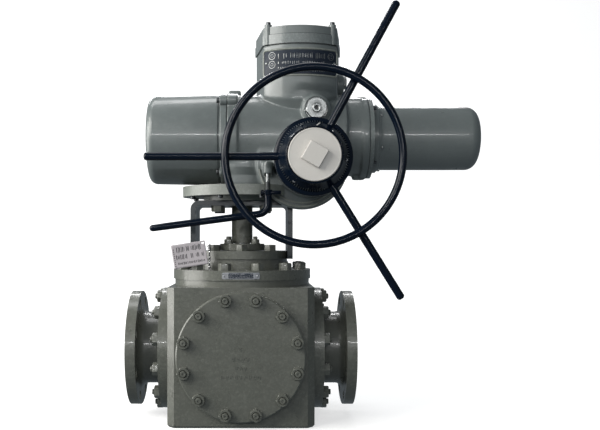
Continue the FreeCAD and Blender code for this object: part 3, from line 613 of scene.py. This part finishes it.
def handwheel_cap():
    """Cream cap: disc with a raised bright rim and the square indicator boss."""
    work = bmesh.new()
    profile = [(CAP_BACK, 0), (CAP_BACK, CAP_RADIUS - 0.0008), (CAP_FACE - 0.003, CAP_RADIUS - 0.0008)]
    profile += rounded_corner(CAP_FACE - 0.0026, CAP_RADIUS - 0.0030, 0.0022, 90, 0, 5)
    profile += [(CAP_FACE - 0.0009, CAP_RADIUS - 0.0046), (CAP_FACE - 0.0009, 0)]
    lathe(work, profile, WHEEL_PLACE, 128)
    boss_turn = Matrix.Rotation(radians(-30), 4, "Z")
    low_half, high_half = 0.0228, 0.0221
    rings = []
    for along, half, corner in ((-0.0012, low_half, 0.0022), (0.0095, high_half, 0.0020),
                                (0.0106, high_half - 0.0004, 0.0019),
                                (0.0110, high_half - 0.0013, 0.0016)):
        outline = sum(rounded_rectangle(half, half, corner, 4), [])
        rings.append([work.verts.new(WHEEL_PLACE @ boss_turn @ Vector((x, y, CAP_FACE + along)))
                      for x, y in outline])
    bridge_all(work, rings)
    work.faces.new(rings[-1])
    stand_in("handwheel_cap", work, 14)


def handwheel_rim():
    """Rim ring with a small weld pad where each bar passes behind it."""
    work = bmesh.new()
    plane = BAR_PLANE + BAR_RADIUS + RING_TUBE
    grid = []
    for angle in full_turn(192):
        row = []
        for turn in full_turn(28):
            radius = RING_RADIUS + RING_TUBE * cos(turn)
            local = Vector((radius * cos(angle), radius * sin(angle), plane + RING_TUBE * sin(turn)))
            row.append(work.verts.new(WHEEL_PLACE @ local))
        grid.append(row)
    bridge_all(work, [*grid, grid[0]])
    stand_in("handwheel_rim", work, 60)
    weld = bmesh.new()
    for bar_angle, _ in BARS:
        across = WHEEL_PLACE @ Matrix.Rotation(radians(-bar_angle), 4, "Z")
        for side in (-1, 1):
            spot = across @ Vector((RING_RADIUS, side * 0.0085, BAR_PLANE + 0.0085))
            for vertex in bmesh.ops.create_icosphere(weld, subdivisions=3, radius=1.0)["verts"]:
                ripple = 1 + 0.10 * sin(vertex.co.x * 14)
                local = Vector((vertex.co.x * 0.0072, vertex.co.y * 0.0038 * ripple,
                                vertex.co.z * 0.0040 * ripple))
                vertex.co = spot + across.to_3x3() @ local
    add_work("rim_welds", weld, "black_paint", "handwheel", smooth_angle=60)


def handwheel_bars():
    """Round bars, slightly uneven like drawn rod, from inside the hub to past the rim."""
    work = bmesh.new()
    inner_end = 0.060
    for angle, reach in BARS:
        turn = radians(angle)
        outwards = Vector((cos(turn), 0, sin(turn)))
        start = Vector((WHEEL.x, -BAR_PLANE, WHEEL.z)) + outwards * inner_end
        length = reach - inner_end
        profile = [(0, 0), (0, BAR_RADIUS)]
        profile += [(length * k / 40 * 0.985, BAR_RADIUS * (1 - 0.012 * sin(k * 1.7)))
                    for k in range(1, 40)]
        profile += rounded_corner(length - 0.0065, BAR_RADIUS - 0.0065, 0.0065, 90, 0, 8)
        profile += [(length, 0)]
        lathe(work, profile, axis_place(start, outwards), 32)
    stand_in("handwheel_bars", work, 40)


handwheel_hub()
hub_dial()
index_mark()
handwheel_cap()
handwheel_rim()
handwheel_bars()


# ---------------- control cover and motor
def control_cover():
    """Drawn cover with rounded end, a shallow flare, a step before the flange and cast lugs."""
    low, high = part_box("control_cover")
    flange, radius = 0.0166, 0.111
    work = bmesh.new()
    length = high.x - low.x
    step = length - flange
    profile = [(0, 0), (0.0006, radius * 0.5), (0.0012, radius - 0.021)]
    profile += rounded_corner(0.0205, radius - 0.0210, 0.0195, 178, 92, 10)
    profile += [(0.060, radius - 0.0008), (0.110, radius), (step - 0.009, radius + 0.0008),
                (step - 0.005, radius + 0.0002), (step - 0.0035, radius - 0.0030),
                (step + 0.0004, radius - 0.0030), (step + 0.0010, radius + 0.0022)]
    profile += rounded_corner(step + 0.0032, radius + 0.0020, 0.0020, 170, 90, 4)
    profile += [(length - 0.0015, radius + 0.0040), (length - 0.0002, radius + 0.0030),
                (length, radius - 0.009)]
    lathe(work, profile, axis_place((low.x, 0, BARREL_HEIGHT), RIGHT), 128)
    for y, z in circle_spots(4, COVER_CIRCLE, 45):
        place = axis_place((high.x - flange, y, BARREL_HEIGHT + z), RIGHT)
        lathe(work, [(0, 0), (0, 0.0105), (0.0015, 0.0120), (flange, 0.0120), (flange, 0)], place, 40)
    stand_in("control_cover", work, 30)


def motor_housing():
    """Shell with its flange, a collar with small screws and a rounded end."""
    low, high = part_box("motor_housing")
    collar, length = MOTOR_COLLAR - low.x, high.x - low.x
    radius, flange_radius, bore_radius = 0.078, 0.0835, 0.040
    profile = [(0, bore_radius), (0, flange_radius)]
    profile += rounded_corner(0.0015, flange_radius, 0.0015, 180, 90, 3)
    profile += rounded_corner(0.0125, flange_radius, 0.0015, 90, 10, 3)
    profile += [(0.0150, 0.0812)]
    profile += rounded_corner(collar - 0.002, 0.0790, 0.002, 90, 10, 5)
    profile += [(collar + 0.0004, 0.0788)]
    profile += [(collar + 0.0035, radius + 0.0004), (collar + 0.006, radius)]
    profile += [(length - 0.080, radius), (length - 0.050, radius - 0.0002)]
    profile += rounded_corner(length - 0.0275, radius - 0.0275, 0.0272, 88, 4, 14)
    profile += [(length, radius * 0.35), (length, 0)]
    work = bmesh.new()
    lathe(work, profile, axis_place((low.x, 0, MOTOR.z), RIGHT), 128)
    stand_in("motor_housing", work, 30)
    small = bmesh.new()
    for y, z in circle_spots(6, 0.0785 * 1.01, 22):
        place = axis_place((MOTOR_COLLAR, y, MOTOR.z + z), RIGHT)
        lathe(small, [(-0.001, 0.0040), (0.0025, 0.0040), (0.0036, 0.0031), (0.0036, 0)], place, 16)
    add_work("motor_collar_screws", small, "bright_steel")


control_cover()
motor_housing()


# ---------------- plates, plug and trim
def outward(angle):
    """Level direction from an upright cylinder's axis, angle 0 towards the viewer."""
    return Vector((sin(angle), -cos(angle), 0))


def curved_patch(work, axis_x, axis_y, radius, half_angle, low, high, thickness, columns=32, corner=0.0):
    """Plate that follows an upright cylinder's front, with its back on that cylinder."""
    rows = 4
    front, back = [], []
    for k in range(columns + 1):
        angle = -half_angle + 2 * half_angle * k / columns
        distance = (half_angle - abs(angle)) * radius
        inset = 0.0
        if distance < corner:
            inset = corner - sqrt(max(0.0, corner ** 2 - (corner - distance) ** 2))
        for sheet, reach in ((front, radius + thickness), (back, radius)):
            foot = Vector((axis_x, axis_y, low + inset)) + reach * outward(angle)
            rise = Vector((0, 0, high - low - 2 * inset))
            sheet.append([work.verts.new(foot + rise * j / rows) for j in range(rows + 1)])
    for sheet in (front, back):
        bridge_all(work, sheet, closed=False)
    for end in (0, -1):
        bridge(work, [column[end] for column in front], [column[end] for column in back], closed=False)
        bridge(work, front[end], back[end], closed=False)


TURRET_ARC, TURRET_FRONT = 0.132, 0.105
PLATE_LOW, PLATE_HIGH = 0.8255, 0.8825
PLATE_AXIS_Y = TURRET_ARC - TURRET_FRONT
PLATE_THICKNESS, RELIEF_BASE = 0.0013, 0.0010


def plate_point(across, up, lift):
    """A point on the curved nameplate, across measured along its surface from the turret's middle."""
    return Vector((TURRET.x, PLATE_AXIS_Y, up)) + (TURRET_ARC + lift) * outward(across / TURRET_ARC)


def relief_bar(work, across, up, width, height, lift):
    """Small raised block on the nameplate."""
    corners = []
    for reach, shrink in ((RELIEF_BASE, 1.0), (lift, 0.75)):
        for sx, sz in QUARTERS:
            corners.append(work.verts.new(plate_point(across + sx * width / 2 * shrink,
                                                      up + sz * height / 2 * shrink, reach)))
    work.faces.new(corners[4:])
    bridge(work, corners[:4], corners[4:])


def relief_ring(work, across, up, radius, width, lift):
    """Small raised ring on the nameplate with sloping sides."""
    circles = []
    for size, reach in ((radius - width * 0.8, RELIEF_BASE), (radius - width / 2, lift),
                        (radius + width / 2, lift), (radius + width * 0.8, RELIEF_BASE)):
        circles.append([work.verts.new(plate_point(across + size * cos(turn),
                                                   up + size * sin(turn), reach))
                        for turn in full_turn(28)])
    bridge_all(work, circles)


def terminal_nameplate():
    """Curved plate with thin rings, rows of meaningless raised strokes and two screws."""
    plate, work, trim = bmesh.new(), bmesh.new(), bmesh.new()
    curved_patch(plate, TURRET.x, PLATE_AXIS_Y, TURRET_ARC, 0.093 / TURRET_ARC, PLATE_LOW, PLATE_HIGH,
                 PLATE_THICKNESS, columns=48, corner=0.004)
    for up in (0.871, 0.850):
        relief_ring(work, -0.071, up, 0.0085, 0.0006, 0.0016)
        relief_ring(work, -0.071, up, 0.0035, 0.0004, 0.0015)
    badge_x, badge_z, spacing = 0.076, 0.869, 0.004
    relief_ring(work, badge_x, badge_z, 0.0082, 0.0007, 0.0018)
    for x, z in circle_spots(4, spacing, 45):
        relief_bar(work, badge_x + x, badge_z + z, 0.002, 0.002, 0.0018)
    for up, height in ((0.8685, 0.0150), (0.8525, 0.0080), (0.8410, 0.0055), (0.8325, 0.0045)):
        across = -0.054
        while across < 0.060:
            width = uniform(0.0009, 0.0019)
            if random() < 0.8:
                relief_bar(work, across, up + uniform(-0.0006, 0.0006), width,
                           height * uniform(0.65, 1.0), 0.0019)
            across += width + uniform(0.0022, 0.0046)
    for across in (-0.0868, 0.0868):
        place = axis_place(plate_point(across, 0.854, 0.001), outward(across / TURRET_ARC))
        lathe(trim, [(0, 0.0034), (0.0012, 0.0034), (0.0024, 0.0024), (0.0028, 0.0010), (0.0028, 0)],
              place, 18)
    stand_in("terminal_nameplate", plate, 30)
    add_work("terminal_nameplate_relief", work, "bright_steel", smooth_angle=30)
    add_work("terminal_nameplate_screws", trim, "bright_steel")


def bead(name, route, radius, slot, closed=False):
    """Round bead along a list of points."""
    curve = bpy.data.curves.new(name, "CURVE")
    curve.dimensions = "3D"
    curve.bevel_depth = radius
    curve.bevel_resolution = 3
    curve.use_fill_caps = True
    spline = curve.splines.new("NURBS")
    spline.points.add(len(route) - 1)
    for point, spot in zip(spline.points, route):
        point.co = (*spot, 1)
    spline.order_u = 3
    spline.use_endpoint_u = not closed
    spline.use_cyclic_u = closed
    spline.resolution_u = 6
    holder = new_object(name + "_curve", curve)
    mesh = bpy.data.meshes.new_from_object(holder.evaluated_get(bpy.context.evaluated_depsgraph_get()))
    mesh.name = name
    bpy.data.objects.remove(holder)
    return add_mesh(name, mesh, slot, "housing", smooth_angle=60)


def nameplate_frame():
    """Cast bead round the turret's nameplate, in the lighter base paint as a painted highlight."""
    half_across, margin, corner, lift = 0.0958, 0.0030, 0.006, 0.0004
    middle, half_up = (PLATE_LOW + PLATE_HIGH) / 2, (PLATE_HIGH - PLATE_LOW) / 2 + margin
    corners = rounded_rectangle(half_across, half_up, corner, 5)
    route = []
    for (sx, sz), points in zip(QUARTERS, corners):
        route += [plate_point(x, middle + z, lift) for x, z in points]
        if sx == sz:
            route += [plate_point(sx * half_across * share, middle + sz * half_up, lift)
                      for share in (0.75, 0.5, 0.25, 0.0, -0.25, -0.5, -0.75)]
    # painted highlight: the lighter base paint makes this bead read as a bright line of light round the
    # plate
    bead("nameplate_frame", route, 0.0023, "base_paint", closed=True)


def gear_case_rim():
    """Machined lip round the lower half of the gear case's front face; both beads are in the lighter
    base paint as painted highlight lines.
    """
    middle = Vector((0.145, -0.1064, 0.613))
    turns = [radians(degrees) for degrees in range(188, 363, 5)]
    for name, radius, size in (("gear_case_lip", 0.1030, 0.0028), ("gear_case_groove", 0.0940, 0.0022)):
        route = [middle + Vector((radius * cos(turn), 0, radius * sin(turn))) for turn in turns]
        # painted highlight: the lighter base paint on both beads stands for bright lines of light along
        # the lip
        bead(name, route, size, "base_paint")


def bonnet_nameplate():
    """Curved plate with two rivets, a darker field and rows of meaningless strokes."""
    low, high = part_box("bonnet_nameplate")
    radius = 0.1695
    work, field = bmesh.new(), bmesh.new()
    half = (high.x - low.x) / 2 / radius
    curved_patch(work, 0, 0, radius, half, low.z, high.z, 0.0012, columns=40, corner=0.002)

    def facing(angle, reach, height):
        return axis_place(outward(angle) * reach + Vector((0, 0, height)), outward(angle))

    for angle in (0.030 - half, half - 0.030):
        lathe(work, [(0, 0.0024), (0.0020, 0.0022), (0.0029, 0.0012), (0.0031, 0)],
              facing(angle, radius, (low.z + high.z) / 2), 16)
    rows, strokes, print_half = 3, 26, half * 0.72
    for row in range(rows):
        for k in range(strokes):
            angle = print_half * (2 * k / (strokes - 1) - 1) + uniform(-0.004, 0.004)
            tall = uniform(0.0008, 0.0018)
            place = facing(angle, radius + 0.0014, low.z + 0.0035 + row * 0.0040)
            for vertex in bmesh.ops.create_cube(work, size=1.0)["verts"]:
                vertex.co = place @ Vector((vertex.co.x * tall * 1.4, vertex.co.y * 0.0011,
                                            vertex.co.z * 0.0006))
    curved_patch(field, 0, 0, radius + 0.00125, half * 0.66, low.z + 0.0015, high.z - 0.0015,
                 0.00022, columns=30, corner=0.001)
    add_work("bonnet_nameplate_field", field, "nameplate")
    stand_in("bonnet_nameplate", work, 30)


def vent_plug():
    """Turned steel plug: full hexagon, a small centre boss and its breather hole with a dark disc of
    painted shade inside, on a cast ring.
    """
    spot = centre("vent_plug")
    work = bmesh.new()
    place = axis_place((spot.x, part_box("vent_plug")[1].y, spot.z), FRONT, radians(12))
    hex_nut(work, place, 0.0263, 0.0105, chamfer=0.10)
    lathe(work, [(0.0100, 0.0205), (0.0108, 0.0200), (0.0110, 0.0120), (0.0114, 0.0105),
                 (0.0136, 0.0100), (0.0143, 0.0088), (0.0143, 0.0062), (0.0135, 0.0052),
                 (0.0080, 0.0052)], place, 48)
    stand_in("vent_plug", work, 28)
    # painted shade: a dark graphite disc near the mouth of the breather hole stands for the shade inside
    # it
    bore = bmesh.new()
    lathe(bore, [(0.0135, 0.0050), (0.0120, 0.0046), (0.0120, 0)], place, 32)
    add_work("vent_plug_bore_painted_shade", bore, "graphite")
    seat = bmesh.new()
    lathe(seat, [(-0.0020, 0.0268), (0.0016, 0.0272), (0.0026, 0.0286), (0.0016, 0.0300),
                 (-0.0020, 0.0304)], place, 56)
    add_work("vent_plug_seat", seat, "actuator_paint")


def side_conduit():
    """Conduit entry on the right of the turret: cast boss, and a hexagon plug above its middle."""
    work = bmesh.new()
    boss = Vector((TURRET.x + 0.085, 0.030, 0.8230))
    lathe(work, [(0, 0.0300), (0.0140, 0.0285), (0.0270, 0.0262), (0.0290, 0.0240), (0.0290, 0)],
          axis_place(boss, RIGHT), 56)
    hex_nut(work, axis_place(boss + mm(28.5, 0, 6), RIGHT), 0.0165, 0.0085, chamfer=0.16)
    add_work("side_conduit", work, "actuator_paint", smooth_angle=30)


def barrel_details():
    """Small cast bosses on the front of the barrel: a round boss with its plug and a pair of lugs."""
    work = bmesh.new()
    boss_x, boss_z, lug_z, barrel_radius = 0.0503, 0.6286, 0.592, 0.110
    front, low_front = (sqrt(barrel_radius ** 2 - (z - BARREL_HEIGHT) ** 2) for z in (boss_z, lug_z))
    lathe(work, [(-0.012, 0.0160), (0.0075, 0.0160), (0.0090, 0.0148), (0.0092, 0.0122),
                 (0.0070, 0.0110), (0.0070, 0)], axis_place((boss_x, -front, boss_z), FRONT), 48)
    hex_nut(work, axis_place((boss_x, -front - 0.0068, boss_z), FRONT, 0.3), 0.0082, 0.0050)
    for across in (-0.006, 0.006):
        hex_nut(work, axis_place((across, -low_front + 0.006, lug_z), FRONT, 0.26), 0.0105, 0.0140)
    add_work("barrel_boss", work, "actuator_paint", smooth_angle=32)


def lid_seams():
    """Dark gasket lines under the lid's upper step and between the lid and the turret."""
    work = bmesh.new()
    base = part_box("terminal_cover")[0].z
    half = 0.080 / TURRET_ARC
    for height, radius in ((base + 0.0226, TURRET_ARC + 0.0011), (base - 0.0014, TURRET_ARC + 0.0001)):
        curved_patch(work, TURRET.x, PLATE_AXIS_Y, radius, half, height, height + 0.0013, 0.0003, 40)
    add_work("lid_seams", work, "graphite")


terminal_nameplate()
nameplate_frame()
gear_case_rim()
lid_seams()
bonnet_nameplate()
vent_plug()
side_conduit()
barrel_details()


# ---------------- clutch lever
def smooth_route(points):
    """Catmull-Rom points through a given route."""
    per_span = 10
    ends = [points[0] * 2 - points[1], *points, points[-1] * 2 - points[-2]]
    route = []
    for before, start, stop, after in zip(ends, ends[1:], ends[2:], ends[3:]):
        for t in (k / per_span for k in range(per_span)):
            route.append(0.5 * ((2 * start) + (stop - before) * t
                                + (2 * before - 5 * start + 4 * stop - after) * t ** 2
                                + (3 * start - before - 3 * stop + after) * t ** 3))
    return route + [points[-1]]


def round_rod(work, route, radii):
    """Rod along a route in a plane across Y, with a radius at each point and closed ends."""
    rings = []
    for index, spot in enumerate(route):
        ahead = route[min(index + 1, len(route) - 1)] - route[max(index - 1, 0)]
        across = radii[index] * ahead.cross(Vector((0, 1, 0))).normalized()
        upright = radii[index] * across.cross(ahead).normalized()
        rings.append([work.verts.new(spot + across * cos(turn) + upright * sin(turn))
                      for turn in full_turn(24)])
    bridge_all(work, rings)
    work.faces.new(rings[0])
    work.faces.new(rings[-1])


def clutch_lever():
    """Bent round rod with a tapered tip, and the collar with its cross-arm on the stud."""
    pivot = centre("lever_pivot")
    axis, radius = Vector((pivot.x, pivot.y, 0)), 0.0082
    route = smooth_route([axis + mm(*offset) for offset in
                          ((0, 0, 541), (1.5, 0, 524), (0, 0, 508), (-9, 0, 496), (-24, 0, 491),
                           (-78, 0, 484), (-180, 0, 470.5), (-266, 0, 459))])
    radii = [radius] * len(route)
    last, heading = route[-1], (route[-1] - route[-8]).normalized()
    for back, (share, distance) in enumerate(((0.30, 0.0078), (0.62, 0.0062), (0.86, 0.0035),
                                              (0.96, 0.0))):
        radii[-1 - back] = radius * share
        route[-1 - back] = last + heading * distance
    rod, work = bmesh.new(), bmesh.new()
    round_rod(rod, route, radii)
    add_work("clutch_lever_rod", rod, own("clutch_lever"), "lever", ["clutch_lever"], 50)
    lathe(work, [(0, 0), (0, 0.0086), (0.0015, 0.0102), (0.0115, 0.0105), (0.0130, 0.0095),
                 (0.0135, 0)], axis_place(axis + mm(0, 0, 534.5), UP), 32)
    cross = axis_place(axis + mm(-16.5, -4, 541), RIGHT)
    hex_nut(work, cross, 0.0062, 0.0065, chamfer=0.15)
    lathe(work, [(0.0060, 0.0048), (0.0455, 0.0048), (0.0470, 0.0040), (0.0470, 0)], cross, 20)
    add_work("clutch_lever_collar", work, "black_paint", "lever", smooth_angle=30)


def lever_pivot():
    """Stud that carries the lever: threaded where it shows, a turned shank inside the housing."""
    low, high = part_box("lever_pivot")
    pivot = centre("lever_pivot")
    work = bmesh.new()
    length, threaded, pitch = high.z - low.z, 0.020, 0.0016
    crest, root, shank = 0.0062, 0.0054, 0.0044
    profile = [(0, 0)]
    for turn in range(int(threaded / pitch)):
        profile += [(turn * pitch, crest), (turn * pitch + pitch / 2, root)]
    profile += [(threaded, root), (threaded + 0.0008, shank), (length, shank), (length, 0)]
    lathe(work, profile, axis_place((pivot.x, pivot.y, low.z), UP), 28)
    stand_in("lever_pivot", work, 40)


clutch_lever()
lever_pivot()


# ---------------- inspection tag and its wire
def inspection_tag():
    """Slightly bowed card, punched at its upper right corner, with generic printed rows raised on it."""
    spot = centre("inspection_tag")
    tilt = Matrix.Translation(spot) @ Matrix.Rotation(radians(-9), 4, "Y")
    length, height, columns, rows = 0.0805, 0.0560, 28, 16
    print_lift, hole_radius, clear_of_hole = 0.00062, 0.0026, 0.010
    eyelet = Vector((length / 2 - 0.0055, height / 2 - 0.0060))

    def on_card(x, z, lift=0.0):
        bow = 0.0010 * sin((x / length + 0.5) * pi) - 0.0006 * sin(z / height * 2.2)
        return tilt @ Vector((x, bow - lift - 0.0002, z))

    def print_mark(x, z, width, tall):
        ink.faces.new([ink.verts.new(on_card(x + sx * width / 2, z + sz * tall / 2, print_lift))
                       for sx, sz in QUARTERS])

    work, ink = bmesh.new(), bmesh.new()
    grid = [[work.verts.new(on_card(length * (i / columns - 0.5), height * (j / rows - 0.5)))
             for j in range(rows + 1)] for i in range(columns + 1)]
    for i in range(columns):
        for j in range(rows):
            middle = Vector((length * ((i + 0.5) / columns - 0.5), height * ((j + 0.5) / rows - 0.5)))
            if (middle - eyelet).length > hole_radius:
                work.faces.new((grid[i][j], grid[i + 1][j], grid[i + 1][j + 1], grid[i][j + 1]))
    card = stand_in("inspection_tag", work, 50)
    solid = card.modifiers.new("thickness", "SOLIDIFY")
    solid.thickness = 0.0009
    solid.offset = 0
    for up, tallest, indent in ((0.0150, 0.0145, 0.0095), (-0.0025, 0.0125, 0.0095),
                                (-0.0175, 0.0070, 0.0120)):
        across = -length / 2 + indent
        while across < length / 2 - 0.0050:
            width = uniform(0.0010, 0.0019)
            tall = tallest * uniform(0.55, 1.0)
            if random() < 0.86 and (Vector((across, up)) - eyelet).length > clear_of_hole:
                print_mark(across, up, width, tall)
            across += width + uniform(0.0010, 0.0026)
    for step in range(9):
        print_mark(-length / 2 + 0.0045, -0.022 + 0.0048 * step, 0.0020, 0.0026)
    add_work("inspection_tag_print", ink, "graphite")


def tag_tie():
    """Bright twisted wire with crimped beads beside the card, its loop through the punched corner."""
    low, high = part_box("tag_tie")
    column_x, column_y, twists, steps = high.x - 0.0032, -0.1212, 5, 70
    card_corner = Vector((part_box("inspection_tag")[1].x - 0.004, centre("inspection_tag").y, 0.417))
    for strand, slot in enumerate((own("tag_tie"), "graphite")):
        route = []
        for k in range(steps):
            share = k / (steps - 1)
            turn = share * 2 * pi * twists + strand * pi
            radius = 0.0014 + 0.0006 * sin(share * 17)
            route.append(Vector((column_x + radius * cos(turn), column_y + radius * sin(turn),
                                 low.z + 0.001 + (high.z - low.z - 0.012) * share)))
        piece = bead("tag_tie_strand_%d" % strand, route, 0.0011, slot)
        if strand == 0:
            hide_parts("tag_tie")
    loop = [Vector((column_x, column_y, 0.417)), (Vector((column_x, -0.1225, 0.4185)) + card_corner) / 2,
            card_corner + mm(0, -1, 0), card_corner + mm(1, 1, -1)]
    bead("tag_tie_loop", loop, 0.0008, own("tag_tie"))
    beads = bmesh.new()
    for height, size in ((0.4205, 0.0026), (0.4150, 0.0029), (0.4090, 0.0030), (0.4035, 0.0026),
                         (0.3900, 0.0022), (0.3780, 0.0022)):
        shift = uniform(-0.0004, 0.0004) - 0.0002
        lathe(beads, [(-size, 0), (-size * 0.7, size * 0.75), (0, size), (size * 0.7, size * 0.75),
                      (size, 0)], axis_place((column_x + shift, column_y, height), UP), 20)
    add_work("tag_tie_beads", beads, own("tag_tie"), smooth_angle=60)


inspection_tag()
tag_tie()


# ---------------- floor, light and camera
def area_light(name, place, aim, width, height, power, colour=(1, 1, 1)):
    lamp = bpy.data.lights.new(name, "AREA")
    lamp.shape = "RECTANGLE"
    lamp.size, lamp.size_y = width, height
    lamp.energy = power
    lamp.color = colour
    light = new_object(name, lamp)
    light.location = place
    light.rotation_euler = (Vector(aim) - Vector(place)).to_track_quat("-Z", "Y").to_euler()


def studio_sweep():
    """Pale floor that curves up into a backdrop behind the object."""
    work = bmesh.new()
    front, back, top, half_width, bend = -4.0, 1.2, 4.0, 4.5, 0.9
    path = [(front, 0.0), (back, 0.0)]
    path += [(back + bend * sin(turn), bend - bend * cos(turn))
             for turn in [pi / 2 * k / 10 for k in range(1, 11)]]
    path += [(back + bend, top)]
    left, right = ([work.verts.new((side * half_width, along, up)) for along, up in path]
                   for side in (-1, 1))
    bridge(work, left, right, closed=False)
    mesh = from_bmesh("studio_sweep", work)
    sweep = new_object("studio_sweep", mesh)
    paper = Surface("studio_paper", (0.60, 0.60, 0.60), roughness=0.8)
    paper.tint(paper.ramp(paper.noise(3, 3), 0.3, 0.7, 0, 0.25), (0.56, 0.56, 0.56))
    paper.raise_by(paper.noise(200, 3), 0.3)
    paper.set({"Emission Color": (1, 1, 1, 1), "Emission Strength": 0.62})
    mesh.materials.append(paper.done(0.001))
    finish_shading(sweep, 60)
    sweep.visible_diffuse = False
    sweep.visible_glossy = False


studio_sweep()
world = bpy.data.worlds.new("studio")
scene.world = world
world.use_nodes = True
background = world.node_tree.nodes["Background"].inputs
background["Color"].default_value = (0.80, 0.92, 1.0, 1)
background["Strength"].default_value = 0.185
# name, place, point it faces, width, height, watts and colour
area_light("key", (-2.4, -1.6, 1.9), (0.0, 0.0, 0.5), 2.4, 2.0, 118, (1.0, 0.985, 0.94))
area_light("side", (-3.0, -0.2, 0.8), (0.0, 0.0, 0.4), 2.4, 2.2, 85, (1.0, 0.985, 0.95))
area_light("front_strip", (0.0, -3.7, 1.22), (0.0, 0.0, 0.5), 3.4, 0.04, 40)
area_light("overhead", (-0.3, 0.6, 2.5), (0.0, 0.0, 0.6), 1.8, 0.5, 16)
area_light("back_strip", (-0.1, 1.9, 1.84), (0.0, 0.0, 0.75), 2.4, 0.16, 22)

camera_data = bpy.data.cameras.new("camera")
camera = new_object("camera", camera_data)
camera_data.sensor_width = 36
camera_data.lens = 48.87
camera_data.shift_x, camera_data.shift_y = 0.0712, 0.0422
camera.location = (0.0377, -2.033, 0.4307)
camera.rotation_euler = (radians(90), 0, 0)
scene.camera = camera
